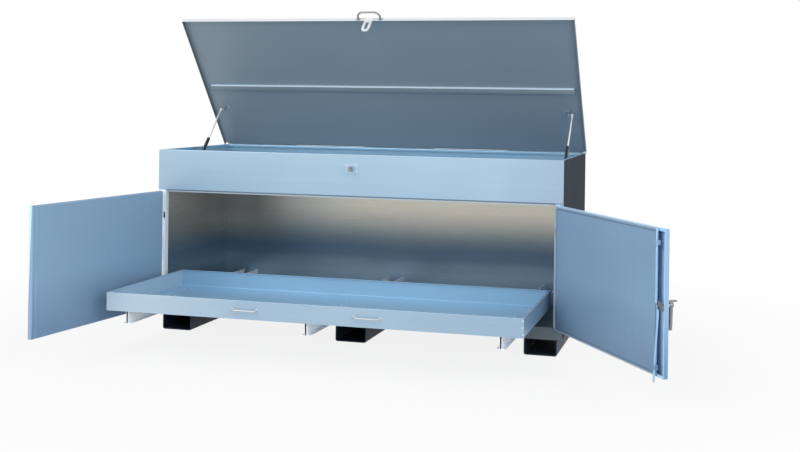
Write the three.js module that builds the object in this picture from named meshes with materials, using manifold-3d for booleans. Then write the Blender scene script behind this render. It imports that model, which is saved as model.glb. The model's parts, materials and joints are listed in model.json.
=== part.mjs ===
import * as THREE from "three";
import { mergeVertices } from "three/addons/utils/BufferGeometryUtils.js";
import Module from "manifold-3d";

// Jobsite storage box on three skids, shown with its lid raised, both doors open and its drawer out.
// Lengths are in millimetres. X runs along the box, Y from its front to its back, Z up from the ground.
// The origin is the middle of the centre skid's underside.

// Size of the closed body
const bodyWidth = 2438;
const bodyDepth = 1013;
const rimHeight = 1083;
const bodySheet = 2.7;
const clearance = 0.3;
const bendRadius = 4;
const weldDistance = 0.01;
const cutOverrun = 5;

// Skids that lift trucks reach into
const skidWidth = 185;
const skidHeight = 94;
const skidWall = 6;
const skidCorner = 12;
const skidSetback = 24;
const skidInset = 27.7;

// Floor, front sill, posts and fascia
const sillTop = 165;
const sillReturn = 45;
const floorRibWidth = 60;
const floorRibEnd = 20;
const floorRibShare = 0.33;
const postWidth = 47;
const postDepth = 40;
const postSlotWidth = 10;
const postSlotDrop = 135;
const postSlotLength = 36;
const postSlotInset = 33;
const fasciaHeight = 240;
const fasciaReturn = 30;
const rimReturn = 20;
const rimLip = 15;
const backFoldHeight = 30;
const backEarHeight = 45;
const wellFloorRise = 3;
const headerLipDrop = 14;

// Padlock staple on the fascia
const staplePlateWidth = 78;
const staplePlateHeight = 58;
const staplePlateSheet = 3;
const stapleDrop = 82;
const stapleReach = 46;
const stapleTongueWidth = 12;
const stapleTongueHeight = 30;
const stapleHoleRadius = 7;
const stapleHoleReach = 34;

// Drawer and its tray
const drawerSide = 83.6;
const drawerLeftInside = 157;
const drawerBackRoom = 103;
const drawerTop = 342.3;
const drawerSkirt = 244.4;
const drawerSheet = 2;
const drawerHem = 12;
const drawerHandleOffset = 335;
const drawerHandleWidth = 145;
const drawerHandleReach = 30;
const drawerHandleBar = 4;
const drawerHandleFoot = 9;
const drawerHandleFootSheet = 2;
const bowKneeShare = 0.4;
const bowShoulderShare = 0.75;
const bowCrownShare = 0.95;

// Rails and rollers under the drawer
const railInset = 200;
const railSheet = 3;
const fixedRailWidth = 104;
const fixedRailTop = 243;
const fixedRailLip = 8;
const fixedRailFront = 30;
const fixedRailBackInset = 38;
const movingRailWidth = 72;
const movingRailFootWidth = 48;
const movingRailGap = 8;
const movingRailBottom = 178;
const movingRailTop = 247;
const movingRailFront = 15;
const movingRailBackInset = 17;
const frontRollerRadius = 28.5;
const frontRollerWidth = 20;
const frontRollerStart = 11;
const frontRollerSetback = 60;
const rearRollerRadius = 34.7;
const rearRollerWidth = 10;
const rearRollerStart = 37;
const rearRollerInset = 47;
const axleOverlap = 1;
const rollerPinRadius = 6;
const rollerPinEnd = 10;
const rollerPlay = 0.3;

// Doors, hung on long hinges in front of the posts
const doorBottom = 156;
const doorTopGap = 7.3;
const doorThickness = 26;
const doorSheet = 2;
const doorGap = 1;
const doorHingeEdge = 9;
const doorMiddleGap = 9;
const doorReturn = 14;
const leftDoorFreeReturn = 25;
const rightDoorFreeReturn = 5;
const linerHingeEdge = 12;
const leftLinerSetback = 23;
const rightLinerSetback = 58;
const doorHingeInset = 29;
const doorHingeForward = 16;
const leftDoorOpen = 96.5;
const rightDoorOpen = 122.6;

// Hinge knuckles and leaves
const knuckleRadius = 6;
const hingePinRadius = 2.5;
const hingePinPlay = 0.05;
const hingeLeaf = 2.2;
const hingeFoot = 13;
const knuckleCount = 5;

// Door latch with its two rods
const latchSetback = 26;
const latchHeightShare = 0.487;
const camLength = 78;
const camWidth = 26;
const camTipShare = 0.25;
const camWaistShare = 0.3;
const camTilt = 27;
const camSheet = 4;
const camLift = 3;
const spindleRadius = 6;
const spindlePlay = 0.4;
const rosetteRadius = 22;
const rosetteSheet = 4;
const leverLength = 137;
const leverWidth = 22;
const leverSheet = 13;
const leverStandoff = 12;
const leverTop = 22;
const leverPinchShare = 0.6;
const bossRadius = 12;
const bossReach = 31;
const leverHeadReach = 48;
const leverHeadSheet = 8;
const upperRodSetback = 48;
const lowerRodSetback = 26;
const lowerRodTipSetback = 61;
const rodRadius = 5;
const upperRodLift = 6;
const lowerRodDrop = 18;
const upperRodTopGap = 3.7;
const lowerRodReach = 24;
const upperGuideDrop = 66;
const lowerGuideRise = 44;
const guideLength = 22;
const guideWidth = 22;
const guideFoot = 14;
const guideWall = 4;
const guidePlay = 0.5;

// Lid, its hinge and what it carries
const lidHingeRise = 11;
const lidOpen = 49.2;
const lidTopDrop = 7;
const lidSheet = 2.5;
const lidFrontOverhang = 45;
const lidSideOverhang = 8;
const lidFlange = 25;
const lidRearGap = 8;
const lidHingeLeafWidth = 45;
const lidHingeEnd = 20;
const lidHingeFixedDrop = 54;
const lidLeafGap = 1.75;
const stiffenerFront = 527;
const stiffenerBack = 487;
const stiffenerDepth = 15;
const stiffenerSheet = 2;
const stiffenerEnd = 32;
const lidHandleDrop = 13;
const lidHandleWidth = 150;
const lidHandleRise = 58;
const lidHandleBar = 6;
const lidHandleFoot = 13;
const lidHandleFootSheet = 2.5;

// Hasp at the middle of the lid's front edge
const haspWidth = 51;
const haspSheet = 3;
const haspLeafHeight = 22;
const haspKnuckleRadius = 5;
const haspPinRadius = 2;
const haspAxisForward = 6;
const haspAxisDrop = 3;
const haspLength = 112;
const haspEndSides = 16;
const haspSlotWidth = 18;
const haspSlotCorner = 7;
const haspSlotLow = 90;
const haspSlotHigh = 22;
const haspKnuckleCount = 3;

// Gas struts
const strutInset = 56;
const strutFootDepth = 320;
const strutFootRise = 31.3;
const strutHeadAlong = 333;
const strutHeadDrop = 28;
const strutEye = 10;
const strutEyeWidth = 11.4;
const strutTubeRadius = 11;
const strutTubeStart = 14;
const strutTubeLength = 350;
const strutBoreRadius = 5.8;
const strutBoreFloor = 46;
const strutRodRadius = 5;
const strutRodHold = 15;
const strutRodEye = 9;
const bracketPlateInset = 30;
const bracketSheet = 2.5;
const bracketWidth = 32;
const bracketFoot = 32;
const bracketCrown = 12;
const studRadius = 4;

const halfWidth = bodyWidth / 2;
const frontFace = -bodyDepth / 2;
const backFace = bodyDepth / 2;
const inner = bodySheet + clearance;
const innerBendShare = 0.25;
const fasciaBottom = rimHeight - fasciaHeight;
const stapleHeight = rimHeight - stapleDrop;
const wellFloorHeight = fasciaBottom + wellFloorRise;
const headerLipBottom = fasciaBottom - headerLipDrop;
const drawerDepth = bodyDepth - drawerBackRoom;
const drawerOut = drawerDepth - drawerLeftInside;
const railOffset = halfWidth - railInset;
const movingRailBack = drawerDepth - movingRailBackInset;
const rearRollerSetback = drawerDepth - rearRollerInset;
const doorTop = fasciaBottom - doorTopGap;
const doorFreeEdge = halfWidth - doorHingeInset - doorMiddleGap;
const latchAlong = doorFreeEdge - latchSetback;
const latchHeight = doorBottom + (doorTop - doorBottom) * latchHeightShare;
const upperRodAlong = doorFreeEdge - upperRodSetback;
const lowerRodAlong = doorFreeEdge - lowerRodSetback;
const lowerRodTipAlong = doorFreeEdge - lowerRodTipSetback;
const lowerRodTip = doorBottom - lowerRodReach;
const roundSides = 16;
const doorInner = doorHingeForward - doorGap;
const doorOuter = doorInner - doorThickness;
const rodLine = doorInner + camLift + camSheet + clearance + rodRadius;
const lidUnder = lidTopDrop + lidSheet;
const lidLength = bodyDepth + lidFrontOverhang;

const steelBlue = 0xa7c0d6;
const lidBlue = 0x8fa8ba;
const doorBlue = 0x7d9db6;
const drawerBlue = 0x9dbad3;
const skidBlack = 0x20262c;
const brightZinc = 0xc9ccce;
const strutBlack = 0x1c1e21;
const rollerGrey = 0xaeb3b6;

const wasm = await Module();
wasm.setup();

// Shape helpers

function toSolid(geometry) {
  const bare = geometry.clone();
  bare.deleteAttribute("normal");
  bare.deleteAttribute("uv");
  const welded = mergeVertices(bare);
  const vertProperties = new Float32Array(welded.attributes.position.array);
  const triVerts = new Uint32Array(welded.index.array);
  return new wasm.Manifold(new wasm.Mesh({ numProp: 3, vertProperties, triVerts }));
}

function joined(...solids) {
  return solids.reduce((total, next) => total.add(next));
}

function cut(solid, ...tools) {
  return tools.reduce((total, next) => total.subtract(next), solid);
}

// A rectangular block between two values on each axis
function block(x0, x1, y0, y1, z0, z1) {
  const shape = new THREE.BoxGeometry();
  const points = shape.attributes.position;
  for (let index = 0; index < points.count; index += 1) {
    const x = points.getX(index) > 0 ? Math.max(x0, x1) : Math.min(x0, x1);
    const y = points.getY(index) > 0 ? Math.max(y0, y1) : Math.min(y0, y1);
    const z = points.getZ(index) > 0 ? Math.max(z0, z1) : Math.min(z0, z1);
    points.setXYZ(index, x, y, z);
  }
  return toSolid(shape);
}

// A round bar from one point to another
function bar(from, to, radius, sides = roundSides) {
  const start = new THREE.Vector3(...from);
  const end = new THREE.Vector3(...to);
  const along = end.clone().sub(start);
  const shape = new THREE.CylinderGeometry(radius, radius, along.length(), sides);
  const up = new THREE.Vector3(0, 1, 0);
  shape.applyQuaternion(new THREE.Quaternion().setFromUnitVectors(up, along.clone().normalize()));
  shape.translate(...start.add(end).divideScalar(2).toArray());
  return toSolid(shape);
}

// Radius of the facet corners of a bore whose flats keep this distance from the axis
function boreRadius(radius, sides = roundSides) {
  return radius / Math.cos(Math.PI / sides);
}

// Closed outline of a sheet with right-angled bends: the line is one face, the metal lies to its left
function bentSheet(points, thickness, radius = bendRadius) {
  const steps = 3;
  const corners = points.map(([a, b]) => new THREE.Vector2(a, b));
  const face = [];
  corners.forEach((corner, index) => {
    if (index === 0 || index === corners.length - 1) {
      face.push(corner);
      return;
    }
    const before = corner.clone().sub(corners[index - 1]).normalize();
    const after = corners[index + 1].clone().sub(corner).normalize();
    const leftTurn = before.x * after.y - before.y * after.x > 0;
    const bend = leftTurn ? radius : Math.max(radius - thickness, thickness * innerBendShare);
    for (let step = 0; step <= steps; step += 1) {
      const turn = (step / steps) * (Math.PI / 2);
      const point = corner.clone();
      point.addScaledVector(before, -bend * (1 - Math.sin(turn)));
      point.addScaledVector(after, bend * (1 - Math.cos(turn)));
      face.push(point);
    }
  });
  const normals = face.map((point, index) => {
    const around = [face[index - 1], point, face[index + 1]].filter(Boolean);
    const sides = [];
    for (let i = 1; i < around.length; i += 1) {
      const edge = around[i].clone().sub(around[i - 1]).normalize();
      sides.push(new THREE.Vector2(-edge.y, edge.x));
    }
    const mean = sides.reduce((sum, side) => sum.add(side), new THREE.Vector2()).normalize();
    return mean.divideScalar(mean.dot(sides[0]));
  });
  const back = face.map((point, index) => point.clone().addScaledVector(normals[index], thickness));
  return [...face, ...back.reverse()];
}

// Outline of a rectangle with round corners
function rounded(x0, x1, z0, z1, corner) {
  const steps = 3;
  const points = [];
  const centres = [
    [x1 - corner, z0 + corner, -Math.PI / 2],
    [x1 - corner, z1 - corner, 0],
    [x0 + corner, z1 - corner, Math.PI / 2],
    [x0 + corner, z0 + corner, Math.PI],
  ];
  centres.forEach(([x, z, start]) => {
    for (let step = 0; step <= steps; step += 1) {
      const turn = start + (step / steps) * (Math.PI / 2);
      points.push([x + corner * Math.cos(turn), z + corner * Math.sin(turn)]);
    }
  });
  return points;
}

// An outline swept along one axis. Its pairs are (y, z) along x, (x, z) along y and (x, y) along z.
function swept(outline, axis, from, to) {
  const pairs = outline.map((point) => (Array.isArray(point) ? point : [point.x, point.y]));
  const flat = pairs.map(([a, b]) => (axis === "y" ? new THREE.Vector2(b, a) : new THREE.Vector2(a, b)));
  const shape = new THREE.ExtrudeGeometry(new THREE.Shape(flat), {
    depth: Math.abs(to - from),
    bevelEnabled: false,
  });
  const x = new THREE.Vector3(1, 0, 0);
  const y = new THREE.Vector3(0, 1, 0);
  const z = new THREE.Vector3(0, 0, 1);
  const frames = { x: [y, z, x], y: [z, x, y], z: [x, y, z] };
  shape.applyMatrix4(new THREE.Matrix4().makeBasis(...frames[axis]));
  const offset = frames[axis][2].clone().multiplyScalar(Math.min(from, to));
  shape.translate(offset.x, offset.y, offset.z);
  return toSolid(shape);
}

// A round bar bent through the given points
function bentBar(points, radius, sides = 10, steps = 18) {
  const path = new THREE.CatmullRomCurve3(
    points.map((point) => new THREE.Vector3(...point)),
    false,
    "centripetal",
  );
  const ring = Array.from({ length: sides }, (unused, index) => {
    const turn = (index / sides) * Math.PI * 2;
    return new THREE.Vector2(radius * Math.cos(turn), radius * Math.sin(turn));
  });
  const shape = new THREE.ExtrudeGeometry(new THREE.Shape(ring), { steps, extrudePath: path });
  return toSolid(shape);
}

// Joins corners that lie closer than the weld distance and drops the faces that this closes up
function withoutSlivers(geometry) {
  const welded = mergeVertices(geometry, weldDistance);
  const faces = welded.index.array;
  const kept = [];
  for (let start = 0; start < faces.length; start += 3) {
    const [a, b, c] = faces.slice(start, start + 3);
    if (a !== b && b !== c && c !== a) {
      kept.push(a, b, c);
    }
  }
  welded.setIndex(kept);
  welded.computeVertexNormals();
  return welded;
}

function named(name, solid, colour, roughness, metalness) {
  const mesh = solid.getMesh();
  const geometry = new THREE.BufferGeometry();
  geometry.setAttribute("position", new THREE.BufferAttribute(new Float32Array(mesh.vertProperties), 3));
  geometry.setIndex(new THREE.BufferAttribute(new Uint32Array(mesh.triVerts), 1));
  const piece = new THREE.Mesh(
    withoutSlivers(geometry),
    new THREE.MeshStandardMaterial({ color: colour, roughness, metalness }),
  );
  piece.name = name;
  return piece;
}

const sheetPiece = (name, solid, colour = steelBlue) => named(name, solid, colour, 0.45, 0.35);
const zincPiece = (name, solid) => named(name, solid, brightZinc, 0.35, 0.85);

// Spans of hinge knuckles along a line, taken in turn by the two leaves
function knuckleSpans(from, to, count, owner) {
  const pitch = (to - from) / count;
  const spans = [];
  for (let index = owner; index < count; index += 2) {
    spans.push([from + index * pitch, from + (index + 1) * pitch - clearance]);
  }
  return spans;
}

// Body of the box

const box = new THREE.Group();
box.name = "jobsite_storage_box";

function skid(name, centre) {
  const left = centre - skidWidth / 2;
  const right = centre + skidWidth / 2;
  const front = frontFace + skidSetback;
  const back = backFace - skidSetback;
  const outside = swept(rounded(left, right, 0, skidHeight, skidCorner), "y", front, back);
  const bore = swept(
    rounded(left + skidWall, right - skidWall, skidWall, skidHeight - skidWall, skidCorner - skidWall),
    "y",
    front - skidSetback,
    back + skidSetback,
  );
  box.add(named(name, outside.subtract(bore), skidBlack, 0.55, 0.1));
}

const skidSide = halfWidth - skidInset - skidWidth / 2;
skid("left_skid", -skidSide);
skid("centre_skid", 0);
skid("right_skid", skidSide);

const sillBottom = skidHeight + clearance;
const panelBack = backFace - inner;

function sidePanel(name, side) {
  const edge = side * halfWidth;
  const web = block(edge, edge - side * bodySheet, frontFace + inner, backFace, sillBottom, rimHeight);
  const lipStart = edge - side * (rimReturn - bodySheet);
  const flange = block(
    edge,
    edge - side * rimReturn,
    frontFace + fasciaReturn + clearance,
    panelBack,
    rimHeight - bodySheet,
    rimHeight,
  );
  const lip = block(
    lipStart,
    edge - side * rimReturn,
    frontFace + fasciaReturn + clearance,
    panelBack,
    rimHeight - rimLip,
    rimHeight,
  );
  box.add(sheetPiece(name, joined(web, flange, lip)));
}

sidePanel("left_side_panel", -1);
sidePanel("right_side_panel", 1);

const backReach = halfWidth - inner;
const backFold = swept(
  bentSheet(
    [
      [backFace - rimReturn, rimHeight - rimLip],
      [backFace - rimReturn, rimHeight],
      [backFace, rimHeight],
      [backFace, rimHeight - backFoldHeight],
    ].reverse(),
    bodySheet,
  ),
  "x",
  -halfWidth + rimReturn + clearance,
  halfWidth - rimReturn - clearance,
);
const backWeb = block(
  -backReach,
  backReach,
  backFace - bodySheet,
  backFace,
  sillBottom,
  rimHeight - backFoldHeight,
);
const backEars = [-1, 1].map((side) => {
  const end = side * (halfWidth - rimReturn - clearance);
  return block(side * backReach, end, backFace - bodySheet, backFace, rimHeight - backEarHeight, rimHeight);
});
box.add(sheetPiece("back_panel", joined(backWeb, backFold, ...backEars)));

const floorFront = frontFace + sillReturn + clearance;
const floorBack = backFace - inner;
const floorTop = block(-backReach, backReach, floorFront, floorBack, sillTop - bodySheet, sillTop);
const floorSides = [-1, 1].map((side) => {
  const edge = side * backReach;
  return block(edge, edge - side * bodySheet, floorFront, floorBack, sillBottom, sillTop);
});
const floorRear = block(-backReach, backReach, floorBack - bodySheet, floorBack, sillBottom, sillTop);
const floorRibs = [floorRibShare, 1 - floorRibShare].map((share) => {
  const middle = frontFace + bodyDepth * share;
  const reach = backReach - floorRibEnd;
  const near = middle - floorRibWidth / 2;
  const far = middle + floorRibWidth / 2;
  return joined(
    block(-reach, reach, near, near + bodySheet, sillBottom, sillTop - bodySheet / 2),
    block(-reach, reach, far - bodySheet, far, sillBottom, sillTop - bodySheet / 2),
    block(-reach, reach, near, far, sillBottom, sillBottom + bodySheet),
  );
});
box.add(sheetPiece("floor_panel", joined(floorTop, ...floorSides, floorRear, ...floorRibs)));

const sillFold = swept(
  bentSheet(
    [
      [frontFace + sillReturn, sillBottom],
      [frontFace, sillBottom],
      [frontFace, sillTop],
      [frontFace + sillReturn, sillTop],
    ].reverse(),
    bodySheet,
  ),
  "x",
  -backReach,
  backReach,
);
const sillEnds = [-1, 1].map((side) =>
  block(
    side * halfWidth,
    side * (backReach - bodySheet),
    frontFace,
    frontFace + bodySheet,
    sillBottom + bendRadius,
    sillTop - bendRadius,
  ),
);
box.add(sheetPiece("front_sill", joined(sillFold, ...sillEnds)));

function post(name, side) {
  const edge = side * halfWidth;
  const low = sillTop + clearance;
  const high = fasciaBottom - clearance;
  const inside = edge - side * postWidth;
  const leg = edge - side * inner;
  const face = block(edge, inside, frontFace, frontFace + bodySheet, low, high);
  const outerLeg = block(leg, leg - side * bodySheet, frontFace, frontFace + postDepth, low, high);
  const innerLeg = block(inside, inside + side * bodySheet, frontFace, frontFace + postDepth, low, high);
  const slot = block(
    edge - side * postSlotInset,
    edge - side * (postSlotInset + postSlotWidth),
    frontFace - cutOverrun,
    frontFace + bodySheet + cutOverrun,
    high - postSlotDrop - postSlotLength,
    high - postSlotDrop,
  );
  box.add(sheetPiece(name, cut(joined(face, outerLeg, innerLeg), slot)));
}

post("left_post", -1);
post("right_post", 1);

const fasciaFold = swept(
  bentSheet(
    [
      [frontFace + fasciaReturn, fasciaBottom],
      [frontFace, fasciaBottom],
      [frontFace, rimHeight],
      [frontFace + fasciaReturn, rimHeight],
      [frontFace + fasciaReturn, rimHeight - rimLip],
    ].reverse(),
    bodySheet,
  ),
  "x",
  -backReach,
  backReach,
);
const fasciaEnds = [-1, 1].map((side) =>
  block(
    side * halfWidth,
    side * (backReach - bodySheet),
    frontFace,
    frontFace + bodySheet,
    fasciaBottom + bendRadius,
    rimHeight - bendRadius,
  ),
);
box.add(sheetPiece("front_fascia", joined(fasciaFold, ...fasciaEnds)));

const wellTop = wellFloorHeight + bodySheet;
const wellSheet = block(
  -backReach,
  backReach,
  frontFace + bendRadius + clearance,
  backFace - inner,
  wellFloorHeight,
  wellTop,
);
const headerLip = block(
  -backReach + postWidth,
  backReach - postWidth,
  frontFace + fasciaReturn + clearance,
  frontFace + fasciaReturn + clearance + bodySheet,
  headerLipBottom,
  wellTop,
);
box.add(sheetPiece("well_floor", joined(wellSheet, headerLip)));

// Staple: a plate with a flat tongue that the padlock goes through

const stapleFace = frontFace - clearance;
const staplePlate = block(
  -staplePlateWidth / 2,
  staplePlateWidth / 2,
  stapleFace - staplePlateSheet,
  stapleFace,
  stapleHeight - staplePlateHeight / 2,
  stapleHeight + staplePlateHeight / 2,
);
const stapleTongue = block(
  -stapleTongueWidth / 2,
  stapleTongueWidth / 2,
  frontFace - stapleReach,
  stapleFace - staplePlateSheet / 2,
  stapleHeight - stapleTongueHeight / 2,
  stapleHeight + stapleTongueHeight / 2,
);
const stapleHole = bar(
  [-stapleTongueWidth / 2 - cutOverrun, frontFace - stapleHoleReach, stapleHeight],
  [stapleTongueWidth / 2 + cutOverrun, frontFace - stapleHoleReach, stapleHeight],
  stapleHoleRadius,
);
box.add(zincPiece("padlock_staple", cut(joined(staplePlate, stapleTongue), stapleHole)));

// Rails and rollers

const railNames = ["left", "centre", "right"];
const railCentres = [-railOffset, 0, railOffset];
const frontRollerHeight = movingRailTop - railSheet - clearance - frontRollerRadius;
const rearRollerHeight = sillTop + clearance + railSheet + clearance + rearRollerRadius;
const frontRollerLine = frontFace + frontRollerSetback;

railCentres.forEach((centre, index) => {
  const half = fixedRailWidth / 2;
  const base = sillTop + clearance;
  const outline = bentSheet(
    [
      [centre - half + fixedRailLip + railSheet, fixedRailTop],
      [centre - half, fixedRailTop],
      [centre - half, base],
      [centre + half, base],
      [centre + half, fixedRailTop],
      [centre + half - fixedRailLip - railSheet, fixedRailTop],
    ],
    railSheet,
  );
  const channel = swept(outline, "y", frontFace + fixedRailFront, backFace - fixedRailBackInset);
  const pins = [-1, 1].map((side) =>
    bar(
      [centre + side * (half - railSheet / 2), frontRollerLine, frontRollerHeight],
      [centre + side * rollerPinEnd, frontRollerLine, frontRollerHeight],
      rollerPinRadius,
    ),
  );
  box.add(zincPiece(`${railNames[index]}_fixed_rail`, joined(channel, ...pins)));

  [-1, 1].forEach((side) => {
    const near = side * frontRollerStart;
    const far = side * (frontRollerStart + frontRollerWidth);
    const wheel = bar([near, 0, 0], [far, 0, 0], frontRollerRadius, 24);
    const bore = bar(
      [near - side * cutOverrun, 0, 0],
      [far + side * cutOverrun, 0, 0],
      boreRadius(rollerPinRadius + rollerPlay),
    );
    const hand = side < 0 ? "left" : "right";
    const name = `${railNames[index]}_rail_front_${hand}_roller`;
    const roller = named(name, wheel.subtract(bore), rollerGrey, 0.4, 0.8);
    roller.position.set(centre, frontRollerLine, frontRollerHeight);
    box.add(roller);
  });
});

// Drawer, placed at its outer stop

const drawer = new THREE.Group();
drawer.name = "drawer";
drawer.position.set(0, frontFace - drawerOut, 0);
box.add(drawer);

const trayHalf = halfWidth - drawerSide;
const trayFloor = movingRailTop + clearance;
const trayBore = trayHalf - drawerSheet;
const trayMouth = trayHalf - drawerHem;
const tray = joined(
  cut(
    block(-trayHalf, trayHalf, 0, drawerDepth, trayFloor, drawerTop),
    block(
      -trayBore,
      trayBore,
      drawerSheet,
      drawerDepth - drawerSheet,
      trayFloor + drawerSheet,
      drawerTop - drawerSheet,
    ),
    block(
      -trayMouth,
      trayMouth,
      drawerHem,
      drawerDepth - drawerHem,
      trayFloor + drawerHem,
      drawerTop + cutOverrun,
    ),
  ),
  block(-trayHalf, trayHalf, 0, drawerSheet, drawerSkirt, trayFloor + drawerSheet / 2),
);
drawer.add(sheetPiece("drawer_tray", tray, drawerBlue));

// A bow handle whose feet stand on the plane through the origin and whose bar bulges towards local -Y
function bowHandle(width, reach, radius, foot, footSheet) {
  const half = width / 2 - radius;
  const top = -reach + radius;
  const crown = 3 * radius;
  const bow = bentBar(
    [
      [-half, 0, 0],
      [-half, top * bowKneeShare, 0],
      [-half, top * bowShoulderShare, 0],
      [-half + radius, top * bowCrownShare, 0],
      [-half + crown, top, 0],
      [0, top, 0],
      [half - crown, top, 0],
      [half - radius, top * bowCrownShare, 0],
      [half, top * bowShoulderShare, 0],
      [half, top * bowKneeShare, 0],
      [half, 0, 0],
    ],
    radius,
    8,
    24,
  );
  const feet = [-1, 1].map((side) => bar([side * half, 0, 0], [side * half, -footSheet, 0], foot, 12));
  return joined(bow, ...feet);
}

[-1, 1].forEach((side) => {
  const handle = zincPiece(
    side < 0 ? "left_drawer_handle" : "right_drawer_handle",
    bowHandle(drawerHandleWidth, drawerHandleReach, drawerHandleBar, drawerHandleFoot, drawerHandleFootSheet),
  );
  handle.position.set(side * drawerHandleOffset, -clearance, (drawerSkirt + drawerTop) / 2);
  drawer.add(handle);
});

railCentres.forEach((centre, index) => {
  const half = movingRailWidth / 2;
  const near = movingRailGap / 2;
  const webs = [-1, 1].map((side) =>
    joined(
      block(
        centre + side * near,
        centre + side * (near + railSheet),
        movingRailFront,
        movingRailBack,
        movingRailBottom,
        movingRailTop - railSheet / 2,
      ),
      block(
        centre + side * near,
        centre + (side * movingRailFootWidth) / 2,
        movingRailFront,
        movingRailBack,
        movingRailBottom,
        movingRailBottom + railSheet,
      ),
    ),
  );
  const crown = block(
    centre - half,
    centre + half,
    movingRailFront,
    movingRailBack,
    movingRailTop - railSheet,
    movingRailTop,
  );
  const axleBore = bar(
    [centre - half, rearRollerSetback, rearRollerHeight],
    [centre + half, rearRollerSetback, rearRollerHeight],
    boreRadius(rollerPinRadius + rollerPlay),
  );
  drawer.add(zincPiece(`${railNames[index]}_moving_rail`, cut(joined(crown, ...webs), axleBore)));

  const wheels = [-1, 1].map((side) =>
    bar(
      [side * rearRollerStart, 0, 0],
      [side * (rearRollerStart + rearRollerWidth), 0, 0],
      rearRollerRadius,
      24,
    ),
  );
  const axleEnd = rearRollerStart + axleOverlap;
  const axle = bar([-axleEnd, 0, 0], [axleEnd, 0, 0], rollerPinRadius);
  const set = named(`${railNames[index]}_rail_rear_rollers`, joined(axle, ...wheels), rollerGrey, 0.4, 0.8);
  set.position.set(centre, rearRollerSetback, rearRollerHeight);
  drawer.add(set);
});

// Doors. Each is drawn closed about its hinge line and then turned open.

function doorHinge(side) {
  return new THREE.Vector3(side * (halfWidth - doorHingeInset), frontFace - doorHingeForward, 0);
}

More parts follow.
